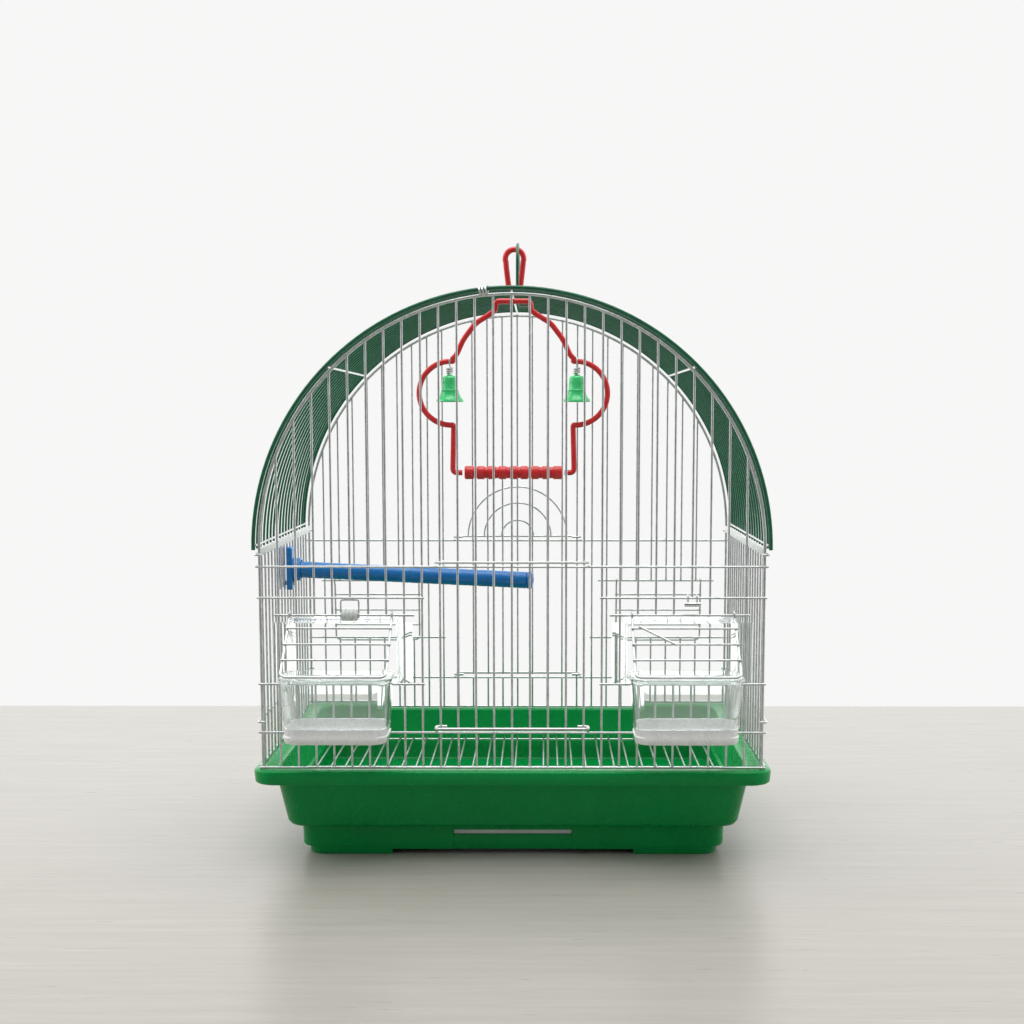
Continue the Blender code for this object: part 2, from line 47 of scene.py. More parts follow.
# where the cage stands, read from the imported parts
trayLow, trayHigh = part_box("base_tray")
midY = (trayLow.y + trayHigh.y) / 2
flangeTop = trayHigh.z
bottomWireZ = flangeTop + 1.3 * mm
springZ = bottomWireZ + 144 * mm  # the line where the arch starts
archZ = springZ + 3 * mm

cage = {
    "pitch": 12 * mm,
    "pitchesWide": 28,
    "pitchesDeep": 17,
    "wire": 0.78 * mm,
    "frameWire": 1.05 * mm,
    "thinWire": 0.72 * mm,
    "layer": 1.7 * mm,  # cross wires sit this far outside the uprights
}
halfW = cage["pitch"] * cage["pitchesWide"] / 2
halfD = cage["pitch"] * cage["pitchesDeep"] / 2


def newGroup(name, sockets):
    tree = bpy.data.node_groups.new(name, "ShaderNodeTree")
    for way, kind, label, value in sockets:
        made = tree.interface.new_socket(name=label, in_out=way, socket_type="NodeSocket" + kind)
        if value is not None:
            made.default_value = value
    tree.nodes.new("NodeGroupInput")
    tree.nodes.new("NodeGroupOutput")
    return tree


def setInputs(made, inputs):
    for label, value in inputs.items():
        made.inputs[label].default_value = value


def node(tree, kind, inputs=None, **settings):
    made = tree.nodes.new("ShaderNode" + kind)
    for label, value in settings.items():
        setattr(made, label, value)
    setInputs(made, inputs or {})
    return made


def byKind(tree, kind):
    return next(n for n in tree.nodes if n.bl_idname == kind)


def makeMottleGroup():
    # slow and fast noise mixed, spread between two values
    tree = newGroup("mottle", [
        ("INPUT", "Vector", "Vector", None), ("INPUT", "Float", "Scale", 60.0),
        ("INPUT", "Float", "Low", 0.3), ("INPUT", "Float", "High", 0.5),
        ("OUTPUT", "Float", "Value", None), ("OUTPUT", "Float", "Mask", None)])
    inward, outward = byKind(tree, "NodeGroupInput"), byKind(tree, "NodeGroupOutput")
    slow = node(tree, "TexNoise", {"Detail": 3, "Roughness": 0.6})
    finer = node(tree, "Math", {1: 5.3}, operation="MULTIPLY")
    fast = node(tree, "TexNoise", {"Detail": 2})
    blend = node(tree, "Mix", {"Factor": 0.35}, data_type="FLOAT")
    spread = node(tree, "MapRange", {"From Min": 0.3, "From Max": 0.7})
    link = tree.links.new
    link(inward.outputs["Vector"], slow.inputs["Vector"])
    link(inward.outputs["Vector"], fast.inputs["Vector"])
    link(inward.outputs["Scale"], slow.inputs["Scale"])
    link(inward.outputs["Scale"], finer.inputs[0])
    link(finer.outputs[0], fast.inputs["Scale"])
    link(slow.outputs["Fac"], blend.inputs[2])
    link(fast.outputs["Fac"], blend.inputs[3])
    link(blend.outputs[0], spread.inputs["Value"])
    link(inward.outputs["Low"], spread.inputs["To Min"])
    link(inward.outputs["High"], spread.inputs["To Max"])
    link(spread.outputs["Result"], outward.inputs["Value"])
    link(blend.outputs[0], outward.inputs["Mask"])
    return tree


def makeScuffGroup():
    # fine hair scratches: stretched noise cut to thin bright lines
    tree = newGroup("scuffs", [
        ("INPUT", "Vector", "Vector", None), ("INPUT", "Float", "Scale", 120.0),
        ("INPUT", "Float", "Amount", 0.5), ("OUTPUT", "Float", "Mask", None)])
    inward, outward = byKind(tree, "NodeGroupInput"), byKind(tree, "NodeGroupOutput")
    link = tree.links.new
    sums = []
    for stretch, turn in (((1.0, 9.0, 3.0), 0.5), ((8.0, 1.2, 2.0), -0.9)):
        place = node(tree, "Mapping", {"Rotation": (turn, turn * 0.6, turn * 1.7), "Scale": stretch})
        noise = node(tree, "TexNoise", {"Detail": 4})
        thin = node(tree, "MapRange", {"From Min": 0.62, "From Max": 0.72})
        link(inward.outputs["Vector"], place.inputs["Vector"])
        link(place.outputs["Vector"], noise.inputs["Vector"])
        link(inward.outputs["Scale"], noise.inputs["Scale"])
        link(noise.outputs["Fac"], thin.inputs["Value"])
        sums.append(thin.outputs["Result"])
    joined = node(tree, "Math", operation="MAXIMUM")
    link(sums[0], joined.inputs[0])
    link(sums[1], joined.inputs[1])
    scaled = node(tree, "Math", operation="MULTIPLY", use_clamp=True)
    link(joined.outputs[0], scaled.inputs[0])
    link(inward.outputs["Amount"], scaled.inputs[1])
    link(scaled.outputs[0], outward.inputs["Mask"])
    return tree


mottle = makeMottleGroup()
scuffs = makeScuffGroup()


def finishMaterial(name, look):
    # every finish: two tones mottled together, roughness that wanders, scuffs and a fine bump
    made = bpy.data.materials.new(name)
    made.use_nodes = True
    tree = made.node_tree
    link = tree.links.new
    shader = tree.nodes["Principled BSDF"]
    setInputs(shader, {
        "Metallic": look.get("metallic", 0.0), "IOR": look.get("ior", 1.46),
        "Coat Weight": look.get("coat", 0.0), "Coat Roughness": look.get("coatRough", 0.1),
        "Transmission Weight": look.get("clear", 0.0)})
    where = node(tree, "TexCoord")
    tone = node(tree, "Group", {"Scale": look["patch"], "Low": 0.0, "High": 1.0}, node_tree=mottle)
    rough = node(tree, "Group", {
        "Scale": look["patch"] * 2.2, "Low": look["rough"][0], "High": look["rough"][1]}, node_tree=mottle)
    marks = node(tree, "Group", {
        "Scale": look.get("scuffScale", 90.0), "Amount": look.get("scuff", 0.3)}, node_tree=scuffs)
    colour = node(tree, "Mix", {6: (*look["dark"], 1), 7: (*look["light"], 1)}, data_type="RGBA")
    worn = node(tree, "Mix", {7: (*look.get("worn", look["light"]), 1)}, data_type="RGBA")
    rougher = node(tree, "Math", operation="ADD", use_clamp=True)
    lift = node(tree, "Math", {1: look.get("scuffRough", 0.12)}, operation="MULTIPLY")
    grain = node(tree, "TexNoise", {"Scale": look.get("grain", 900.0), "Detail": 3})
    bump = node(tree, "Bump", {
        "Strength": look.get("bump", 0.15), "Distance": look.get("bumpDepth", 0.0001)})
    for group in (tone, rough, marks):
        link(where.outputs["Object"], group.inputs["Vector"])
    link(where.outputs["Object"], grain.inputs["Vector"])
    link(tone.outputs["Value"], colour.inputs["Factor"])
    link(colour.outputs[2], worn.inputs[6])
    link(marks.outputs["Mask"], worn.inputs["Factor"])
    link(worn.outputs[2], shader.inputs["Base Color"])
    link(marks.outputs["Mask"], lift.inputs[0])
    link(rough.outputs["Value"], rougher.inputs[0])
    link(lift.outputs[0], rougher.inputs[1])
    link(rougher.outputs[0], shader.inputs["Roughness"])
    link(grain.outputs["Fac"], bump.inputs["Height"])
    link(bump.outputs["Normal"], shader.inputs["Normal"])
    return made


finishes = {
    "zinc_wire": finishMaterial("brightZinc", {
        "dark": (0.5, 0.52, 0.525), "light": (0.78, 0.8, 0.8), "worn": (0.34, 0.35, 0.355),
        "metallic": 1.0, "rough": (0.22, 0.42), "patch": 160.0, "scuff": 0.35, "scuffScale": 240.0,
        "grain": 2400.0, "bump": 0.12}),
    "green_coated_wire": finishMaterial("greenCoating", {
        "dark": (0.0, 0.085, 0.036), "light": (0.003, 0.16, 0.07), "worn": (0.02, 0.26, 0.13),
        "rough": (0.28, 0.42), "patch": 120.0, "coat": 0.15, "scuff": 0.2, "grain": 1500.0, "bump": 0.1}),
    "tray_plastic": finishMaterial("trayGreen", {
        "dark": (0.0, 0.27, 0.055), "light": (0.0, 0.32, 0.07), "worn": (0.005, 0.38, 0.11), "ior": 1.3,
        "rough": (0.22, 0.34), "patch": 14.0, "scuff": 0.1, "scuffScale": 50.0,
        "grain": 700.0, "bump": 0.08}),
    "clear_plastic": finishMaterial("clearPlastic", {
        "dark": (0.92, 0.95, 0.945), "light": (0.97, 0.99, 0.985), "worn": (0.9, 0.93, 0.92), "clear": 0.93,
        "rough": (0.01, 0.05), "patch": 40.0, "ior": 1.07, "coat": 0.8, "coatRough": 0.04, "scuff": 0.2,
        "grain": 160.0, "bump": 0.06}),
    "red_plastic": finishMaterial("redPlastic", {
        "dark": (0.66, 0.016, 0.02), "light": (0.82, 0.03, 0.036), "worn": (0.85, 0.13, 0.12),
        "rough": (0.25, 0.4), "patch": 70.0, "coat": 0.3, "scuff": 0.2, "grain": 1100.0}),
    "blue_plastic": finishMaterial("bluePlastic", {
        "dark": (0.0, 0.15, 0.47), "light": (0.0, 0.2, 0.58), "worn": (0.04, 0.3, 0.64),
        "rough": (0.25, 0.42), "patch": 60.0, "coat": 0.3, "scuff": 0.25, "grain": 800.0}),
    "bell_plastic": finishMaterial("bellGreen", {
        "dark": (0.03, 0.56, 0.16), "light": (0.06, 0.74, 0.25), "worn": (0.25, 0.85, 0.45),
        "rough": (0.15, 0.28), "patch": 90.0, "coat": 0.5, "scuff": 0.15, "grain": 1000.0}),
    "white_plastic": finishMaterial("whitePlastic", {
        "dark": (0.62, 0.66, 0.64), "light": (0.76, 0.8, 0.78), "rough": (0.3, 0.5), "patch": 120.0,
        "scuff": 0.3, "grain": 1200.0}),
}
frostedBase = finishMaterial("frostedBase", {
    "dark": (0.9, 0.92, 0.91), "light": (0.96, 0.97, 0.965), "clear": 0.1, "rough": (0.2, 0.35),
    "patch": 60.0, "ior": 1.2, "coat": 0.6, "scuff": 0.2, "grain": 500.0})
print("finishes made")


def deselect():
    if bpy.context.object and bpy.context.object.mode != "OBJECT":
        bpy.ops.object.mode_set(mode="OBJECT")
    bpy.ops.object.select_all(action="DESELECT")


def choose(piece):
    deselect()
    piece.select_set(True)
    bpy.context.view_layer.objects.active = piece


def settle(piece, place=(0, 0, 0), turn=(0, 0, 0)):
    # puts the piece where it belongs and bakes the place into its mesh
    piece.location = place
    piece.rotation_euler = turn
    choose(piece)
    bpy.ops.object.transform_apply(location=True, rotation=True, scale=True)
    return piece


def dress(piece, name, slot, body, stands=()):
    piece.name = name
    piece.data.name = name
    piece.data.materials.clear()
    piece.data.materials.append(finishes[slot])
    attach(piece, body)
    if stands:
        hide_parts(*stands)
    return piece


def smooth(piece, degrees=35):
    choose(piece)
    bpy.ops.object.shade_smooth_by_angle(angle=math.radians(degrees))


def arc(radius, start, end, steps, centre=(0.0, 0.0)):
    turns = [math.radians(start + (end - start) * i / steps) for i in range(steps + 1)]
    return [(centre[0] + radius * math.cos(t), centre[1] + radius * math.sin(t)) for t in turns]


def softBends(path, radius, steps=5):
    # rounds each inner corner of a bent wire
    out = [Vector(path[0])]
    for before, corner, after in zip(path, path[1:], path[2:]):
        corner = Vector(corner)
        back = Vector(before) - corner
        ahead = Vector(after) - corner
        reach = min(radius, back.length * 0.45, ahead.length * 0.45)
        a = corner + back.normalized() * reach
        b = corner + ahead.normalized() * reach
        for i in range(steps + 1):
            t = i / steps
            out.append(a.lerp(corner, t).lerp(corner.lerp(b, t), t))
    out.append(Vector(path[-1]))
    return out


def wires(paths, thickness, closed=False, sides=10):
    # bent round wires, drawn as curves and turned into one mesh
    data = bpy.data.curves.new("wire", "CURVE")
    data.dimensions = "3D"
    data.bevel_depth = thickness
    data.bevel_resolution = sides // 2 - 2
    data.use_fill_caps = True
    for path in paths:
        spline = data.splines.new("POLY")
        spline.points.add(len(path) - 1)
        for point, place in zip(spline.points, path):
            point.co = (place[0], place[1], place[2], 1)
        spline.use_cyclic_u = closed
    piece = bpy.data.objects.new("wire", data)
    bpy.context.collection.objects.link(piece)
    choose(piece)
    bpy.ops.object.convert(target="MESH")
    piece = bpy.context.object
    bpy.ops.object.mode_set(mode="EDIT")
    bpy.ops.mesh.select_all(action="SELECT")
    bpy.ops.mesh.remove_doubles(threshold=0.00001)
    bpy.ops.mesh.normals_make_consistent(inside=False)
    bpy.ops.object.mode_set(mode="OBJECT")
    smooth(piece, 50)
    return piece


def joined(pieces):
    choose(pieces[0])
    for piece in pieces[1:]:
        piece.select_set(True)
    bpy.ops.object.join()
    return bpy.context.object


def growRings(rings, corner=None, segments=8, sides=40):
    # a flat start face is extruded and resized ring by ring; the last face caps the piece
    width, depth, height = rings[0]
    start = (0, 0, height)
    if corner is None:
        bpy.ops.mesh.primitive_circle_add(vertices=sides, radius=1, fill_type="NGON", location=start)
    else:
        bpy.ops.mesh.primitive_plane_add(size=2, location=start)
    choose(bpy.context.object)
    bpy.ops.object.mode_set(mode="EDIT")
    bpy.ops.mesh.select_all(action="SELECT")
    bpy.ops.transform.resize(value=(width, depth, 1), center_override=start)
    if corner is not None:
        bpy.ops.mesh.bevel(offset=corner, segments=segments, affect="VERTICES")
        bpy.ops.mesh.select_all(action="SELECT")
    for nextWidth, nextDepth, nextHeight in rings[1:]:
        bpy.ops.mesh.extrude_region_move(TRANSFORM_OT_translate={"value": (0, 0, nextHeight - height)})
        growth = (nextWidth / width, nextDepth / depth, 1)
        bpy.ops.transform.resize(value=growth, center_override=(0, 0, nextHeight))
        width, depth, height = nextWidth, nextDepth, nextHeight
    bpy.ops.mesh.select_all(action="SELECT")
    bpy.ops.mesh.normals_make_consistent(inside=False)
    bpy.ops.object.mode_set(mode="OBJECT")
    bpy.ops.object.transform_apply(location=True, rotation=True, scale=True)
    return bpy.context.object


def lathe(profile, sides=32):
    return growRings([(r, r, h) for r, h in profile], None, sides=sides)


def block(low, high):
    size = [b - a for a, b in zip(low, high)]
    middle = [(a + b) / 2 for a, b in zip(low, high)]
    bpy.ops.mesh.primitive_cube_add(size=1, location=middle, scale=size)
    piece = bpy.context.object
    choose(piece)
    bpy.ops.object.transform_apply(location=True, rotation=True, scale=True)
    return piece


def shape(piece, tool, operation):
    # one Boolean, applied, then the tool is thrown away
    step = piece.modifiers.new("cut", "BOOLEAN")
    step.operation = operation
    step.object = tool
    choose(piece)
    bpy.ops.object.modifier_apply(modifier=step.name)
    bpy.data.objects.remove(tool, do_unlink=True)
    return piece


def softEdges(piece, width, segments=3, degrees=30):
    step = piece.modifiers.new("edges", "BEVEL")
    step.width = width
    step.segments = segments
    step.limit_method = "ANGLE"
    step.angle_limit = math.radians(degrees)
    choose(piece)
    bpy.ops.object.modifier_apply(modifier=step.name)
    return piece


def wireX(index):
    return (index - cage["pitchesWide"] / 2) * cage["pitch"]


traySet = {
    # half width, half depth and height of each ring, from the foot up the outside and down the inside
    "rings": ((140.4, 88.6, 0), (141, 89, 0.6), (141.3, 89.2, 4.9), (145.2, 89.3, 5.2),
              (145.6, 89.4, 5.6), (146, 90, 20), (147, 90.6, 20.7), (151.4, 94, 20.9),
              (153.2, 95.4, 21.5), (154.8, 98, 24.2), (160.8, 101.3, 52.2), (161.6, 101.9, 53),
              (174.2, 109.2, 53.3), (174.9, 109.7, 54), (175.4, 110, 60.6), (175.1, 109.7, 62),
              (174, 108.7, 62.8), (172.8, 107.6, 63), (160.6, 100.2, 63), (159.5, 99.4, 62.4),
              (159, 99.1, 61.4), (156.4, 97.4, 39.1), (155.9, 97, 38.5), (153.8, 94.7, 38.3),
              (153.2, 94.2, 37.6), (152, 93.6, 24.4), (151, 92.7, 23.4), (149.4, 91.2, 23.2)),
    "corner": 12 * mm,
    "slot": (41 * mm, 13.8 * mm, 17.4 * mm),
    "panelDepth": 1.1 * mm,  # the field under the slot is set back by this much
    "insertDepth": 2.4 * mm,
    "insertThick": 1.2 * mm,
    "relief": (83 * mm, 3.6 * mm),
    "hollow": ((136.5, 84.5, -2), (141.2, 85.8, 17.6), (140.4, 85.2, 18.4)),
    "hollowCorner": 9 * mm,
    "faceY": 89.7 * mm,
}


def inMetres(rings):
    return [tuple(value * mm for value in ring) for ring in rings]


def makeTray():
    tray = growRings(inMetres(traySet["rings"]), traySet["corner"], segments=12)
    hollow = growRings(inMetres(traySet["hollow"]), traySet["hollowCorner"], segments=8)
    shape(tray, hollow, "DIFFERENCE")
    past = 120 * mm  # well clear of the tray's front and back
    halfSlot, slotLow, slotHigh = traySet["slot"]
    shape(tray, block((-halfSlot, -past, slotLow), (halfSlot, past, slotHigh)), "DIFFERENCE")
    halfRelief, reliefHigh = traySet["relief"]
    shape(tray, block((-halfRelief, -past, -past), (halfRelief, past, reliefHigh)), "DIFFERENCE")
    # the field under the slot, front and back, runs a little into the relief and the slot
    field = traySet["faceY"] - traySet["panelDepth"]
    fieldLow, fieldHigh = reliefHigh - 1 * mm, slotLow + 0.5 * mm
    for side in (-1, 1):
        near, far = sorted((side * field, side * past))
        shape(tray, block((-halfSlot, near, fieldLow), (halfSlot, far, fieldHigh)), "DIFFERENCE")
    softEdges(tray, 0.4 * mm, 2, 40)
    smooth(tray, 40)
    return settle(tray, (0, midY, 0))


def makeSlotInsert():
    # a pale strip that shows through the slot in the front of the plinth
    halfSlot, slotLow, slotHigh = traySet["slot"]
    front = midY - traySet["faceY"] + traySet["insertDepth"]
    strip = block((-halfSlot + 0.4 * mm, front, slotLow + 0.1 * mm),
                  (halfSlot - 0.4 * mm, front + traySet["insertThick"], slotHigh - 0.1 * mm))
    softEdges(strip, 0.2 * mm, 2)
    smooth(strip, 40)
    return strip


dress(makeTray(), "trayBase", "tray_plastic", "base", ("base_tray",))
dress(makeSlotInsert(), "slotInsert", "white_plastic", "base")

grateSet = {
    "count": 29,
    "spacing": 10.5 * mm,
    "rodZ": 41.4 * mm,
    "crossZ": 39.9 * mm,
    "rodHalf": 95.9 * mm,
    # half length and place of each cross wire
    "cross": ((152.9 * mm, -91 * mm), (154.9 * mm, -3 * mm), (152.9 * mm, 91 * mm)),
}


def makeGrate():
    rods = []
    for index in range(grateSet["count"]):
        x = (index - grateSet["count"] // 2) * grateSet["spacing"]
        rods.append([(x, midY + side * grateSet["rodHalf"], grateSet["rodZ"]) for side in (-1, 1)])
    across = [[(-half, midY + y, grateSet["crossZ"]), (half, midY + y, grateSet["crossZ"])]
              for half, y in grateSet["cross"]]
    return joined([wires(rods, cage["thinWire"]), wires(across, cage["wire"])])


dress(makeGrate(), "floorGrateWires", "zinc_wire", "grate", ("floor_grate",))
print("tray and grate made")


def uprightBreaks(index, clipWires):
    # an upright runs from the arch to the bottom wire and stops at the door and feeder openings
    x = wireX(index)
    top = archZ + math.sqrt(halfW ** 2 - x ** 2)
    low = bottomWireZ
    mirrored = min(index, cage["pitchesWide"] - index)
    if panelSet["doorWires"][0] < index < panelSet["doorWires"][1]:
        return [(top, springZ - panelSet["doorTop"]), (springZ - panelSet["doorSill"], low)]
    if panelSet["feederWires"][0] < mirrored < panelSet["feederWires"][1]:
        stop = panelSet["shortWire"] if index in clipWires else panelSet["gateHinge"]
        return [(top, springZ - stop), (springZ - panelSet["feederSill"], low)]
    return [(top, low)]


panelSet = {
    "doorWires": (10, 18),
    "feederWires": (1, 8),
    "doorTop": 8 * mm,
    "shortWire": 28.8 * mm,
    "gateHinge": 40.5 * mm,
    "feederSill": 87 * mm,
    "doorSill": 120 * mm,
    "bottom": 144 * mm,
    "archSteps": 72,
    "endHook": 2.4 * mm,
    "shortStart": 10.5 * mm,  # the short wires start this far past the door's border wire
    "hingeStart": 17 * mm,
    "hingeInset": 9.5 * mm,
    "shortTuck": 0.6 * mm,
}


def makePanel(side, clipWires):
    plane = midY + side * halfD
    outer = midY + side * (halfD + cage["layer"])
    uprights = []
    for index in range(1, cage["pitchesWide"]):
        x = wireX(index)
        uprights += [[(x, plane, a), (x, plane, b)] for a, b in uprightBreaks(index, clipWires)]
    pieces = [wires(uprights, cage["wire"])]
    # the frame wire: up one corner, over the arch and down the other
    frameWire = [(halfW, plane, bottomWireZ - cage["wire"])]
    frameWire += [(x, plane, z) for x, z in arc(halfW, 0, 180, panelSet["archSteps"], (0, archZ))]
    frameWire.append((-halfW, plane, bottomWireZ - cage["wire"]))
    pieces.append(wires([frameWire], cage["frameWire"], sides=12))
    across = []
    full = halfW + panelSet["endHook"]
    for drop in (panelSet["doorTop"], panelSet["doorSill"], panelSet["bottom"]):
        across.append([(-full, outer, springZ - drop), (full, outer, springZ - drop)])
    border = wireX(panelSet["doorWires"][1])
    short = (border + panelSet["shortStart"], full - panelSet["shortTuck"])
    hinge = (border + panelSet["hingeStart"], halfW - panelSet["hingeInset"])
    for sign in (-1, 1):
        for drop, ends in ((panelSet["shortWire"], short), (panelSet["gateHinge"], hinge),
                           (panelSet["feederSill"], short)):
            across.append([(sign * x, outer, springZ - drop) for x in ends])
    pieces.append(wires(across, cage["wire"], sides=12))
    return joined(pieces)


dress(makePanel(-1, (5, 24)), "frontPanelWires", "zinc_wire", "cage", ("front_panel",))
dress(makePanel(1, ()), "rearPanelWires", "zinc_wire", "cage", ("rear_panel",))

sideSet = {
    "plane": 0.9 * mm,
    "lowerWire": 112.7 * mm,
    "reach": 2.8 * mm,  # how far the cross wires pass the corners before they hook back
    "hookDepth": 2 * mm,
    "hookBend": 2.2 * mm,
    "railFaces": (166.9 * mm, 168.05 * mm),
    "railLow": 1 * mm,
    "railHigh": 4.2 * mm,
    "railShort": 1.5 * mm,  # the rails stop this far inside the arch wires
}


def makeSidePanel(side):
    plane = side * (halfW + sideSet["plane"])
    outer = side * (halfW + sideSet["plane"] + cage["layer"])
    inner = side * (halfW - sideSet["hookDepth"])
    front, back = midY - halfD - sideSet["reach"], midY + halfD + sideSet["reach"]
    uprights = []
    for index in range(1, cage["pitchesDeep"]):
        y = midY - halfD + index * cage["pitch"]
        uprights.append([(plane, y, springZ), (plane, y, bottomWireZ)])
    pieces = [wires(uprights, cage["wire"])]
    rails = []
    for drop in (0, sideSet["lowerWire"]):
        z = springZ - drop
        corners = [(inner, front, z), (outer, front, z), (outer, back, z), (inner, back, z)]
        rails.append(softBends(corners, sideSet["hookBend"], 4))
    bottomHalf = halfD - sideSet["hookDepth"]
    rails.append([(outer, midY - bottomHalf, bottomWireZ), (outer, midY + bottomHalf, bottomWireZ)])
    pieces.append(wires(rails, cage["wire"] * 1.08, sides=12))
    return joined(pieces)


def makeSideRail(side):
    # flat white strip inside the top of the side wires
    near, far = sorted(side * face for face in sideSet["railFaces"])
    reach = halfD - sideSet["railShort"]
    low, high = springZ - sideSet["railLow"], springZ + sideSet["railHigh"]
    rail = block((near, midY - reach, low), (far, midY + reach, high))
    softEdges(rail, 0.3 * mm, 2)
    smooth(rail, 40)
    return rail


dress(makeSidePanel(-1), "leftSideWires", "zinc_wire", "cage", ("left_side_panel",))
dress(makeSidePanel(1), "rightSideWires", "zinc_wire", "cage", ("right_side_panel",))
dress(makeSideRail(-1), "leftSideRail", "white_plastic", "cage")
dress(makeSideRail(1), "rightSideRail", "white_plastic", "cage")
print("panels made")

roofSet = {
    "radius": 171.8 * mm,
    "endRadius": 172 * mm,
    "endWire": 1.35 * mm,
    "crossRadius": 170.6 * mm,
    "crossAngles": (1, 45, 90, 135, 179),
    "crossEnd": 0.8 * mm,
    "steps": 80,
}


def makeRoof():
    hoops = []
    for index in range(1, cage["pitchesDeep"]):
        y = midY - halfD + index * cage["pitch"]
        hoops.append([(x, y, z) for x, z in arc(roofSet["radius"], 0, 180, roofSet["steps"], (0, archZ))])
    ends = []
    for side in (-1, 1):
        bend = arc(roofSet["endRadius"], 0, 180, roofSet["steps"], (0, archZ))
        ends.append([(x, midY + side * halfD, z) for x, z in bend])
    green = joined([wires(hoops, cage["wire"] * 1.05, sides=8), wires(ends, roofSet["endWire"], sides=12)])
    dress(green, "roofHoops", "green_coated_wire", "cage",
          ("roof_left_lower", "roof_left_upper", "roof_right_upper", "roof_right_lower"))
    straight = []
    for angle in roofSet["crossAngles"]:
        turn = math.radians(angle)
        x, z = roofSet["crossRadius"] * math.cos(turn), archZ + roofSet["crossRadius"] * math.sin(turn)
        reach = halfD + roofSet["crossEnd"]
        straight.append([(x, midY - reach, z), (x, midY + reach, z)])
    dress(wires(straight, cage["wire"], sides=12), "roofCrossWires", "zinc_wire", "cage")


makeRoof()

doorSet = {
    "lift": 3.2 * mm,  # the door's wires sit this much above the panel's
    "stand": 4.1 * mm,
    "border": 4 * cage["pitch"],
    "behind": 2.6 * mm,
    "barWire": 1.05 * mm,
    "hoops": (13 * mm, 27 * mm, 40 * mm),
    "past": 0.8 * mm,  # the uprights run this far past the bars
    "hook": (4 * mm, 3 * mm),  # the bars' ends: how far in they hook, how far out they turn
}


def makeDoor(side, withHoops):
    plane = midY + side * (halfD + doorSet["stand"])
    bars = midY + side * (halfD + doorSet["stand"] + cage["layer"])
    behind = midY + side * (halfD - doorSet["behind"])
    top = springZ - panelSet["doorTop"] + doorSet["lift"]
    bottom = springZ - panelSet["doorSill"] + doorSet["lift"]
    border = doorSet["border"]
    uprights = []
    for index in range(panelSet["doorWires"][0] + 1, panelSet["doorWires"][1]):
        x = wireX(index)
        uprights.append([(x, plane, top + doorSet["past"]), (x, plane, bottom - doorSet["past"])])
    pieces = [wires(uprights, cage["wire"])]
    rails = []
    hookEnd, turn = border - doorSet["hook"][0], border + doorSet["hook"][1]
    for z in (top, bottom):
        half = [(hookEnd, behind, z), (turn, behind, z), (turn, bars, z)]
        corners = half + [(-x, y, height) for x, y, height in reversed(half)]
        rails.append(softBends(corners, 2.4 * mm, 4))
    pieces.append(wires(rails[:1], cage["wire"], sides=12))
    pieces.append(wires(rails[1:], doorSet["barWire"], sides=12))
    if withHoops:
        hoops = [[(x, bars, z) for x, z in arc(r, 0, 180, 24, (0, top))] for r in doorSet["hoops"]]
        pieces.append(wires(hoops, cage["thinWire"]))
    return joined(pieces)


dress(makeDoor(-1, False), "frontDoorWires", "zinc_wire", "front_door", ("front_door",))
dress(makeDoor(1, True), "rearDoorWires", "zinc_wire", "rear_door", ("rear_door",))

gateSet = {
    "middle": 9.5 * cage["pitch"],
    "halfWidth": 34 * mm,
    "loop": 2.6 * mm,
    "shares": (0.24, 0.5, 0.75),
    "cornerBend": 5 * mm,
    "frontSlope": (41 * mm, 34.6 * mm),  # how far a gate reaches out and how far it falls
    "rearSlope": (3.6 * mm, 49 * mm),
    "stayStart": 84 * mm,
    "stayWidth": 24 * mm,
    "stayShares": (0.22, 0.52),
    "overhang": 1.2 * mm,
}


def makeGate(side, centre, slope, withStay=False):
    reach, fall = slope
    hingeY = midY + side * (halfD + cage["layer"])
    hingeZ = springZ - panelSet["gateHinge"]
    length = math.hypot(reach, fall)
    out, down = reach / length, fall / length

    def at(x, distance, lift=0.0):
        return (x, hingeY + side * (out * distance + down * lift), hingeZ - down * distance + out * lift)

    left, right = centre - gateSet["halfWidth"], centre + gateSet["halfWidth"]
    start = gateSet["loop"] - 0.3 * mm
    rim = softBends([at(left, start), at(left, length), at(right, length), at(right, start)],
                    gateSet["cornerBend"], 8)
    pieces = [wires([rim], cage["wire"] * 1.05, sides=12)]
    lift = cage["layer"] * 0.8
    ends = (left - gateSet["overhang"], right + gateSet["overhang"])
    across = [[at(x, length * share, lift) for x in ends] for share in gateSet["shares"]]
    if withStay:
        # a slanting wire laid over the cross wires
        over = lift * 1.7
        stayX = (gateSet["stayStart"], gateSet["stayStart"] + gateSet["stayWidth"])
        across.append([at(x, length * share, over) for x, share in zip(stayX, gateSet["stayShares"])])
    pieces.append(wires(across, cage["thinWire"]))
    hingeRing = arc(gateSet["loop"], 0, 342, 19, (hingeY, hingeZ))
    rings = [[(x, y, z) for y, z in hingeRing] for x in (left, right)]
    pieces.append(wires(rings, cage["thinWire"], closed=True))
    return joined(pieces)


for name, sign in (("left", -1), ("right", 1)):
    middle = sign * gateSet["middle"]
    gate = makeGate(-1, middle, gateSet["frontSlope"], withStay=sign > 0)
    dress(gate, name + "GateWires", "zinc_wire", name + "_gate", (name + "_feeder_gate",))
    flap = makeGate(1, middle, gateSet["rearSlope"])
    dress(flap, name + "RearFlapWires", "zinc_wire", name + "_rear_flap", (name + "_rear_gate",))
print("doors and gates made")

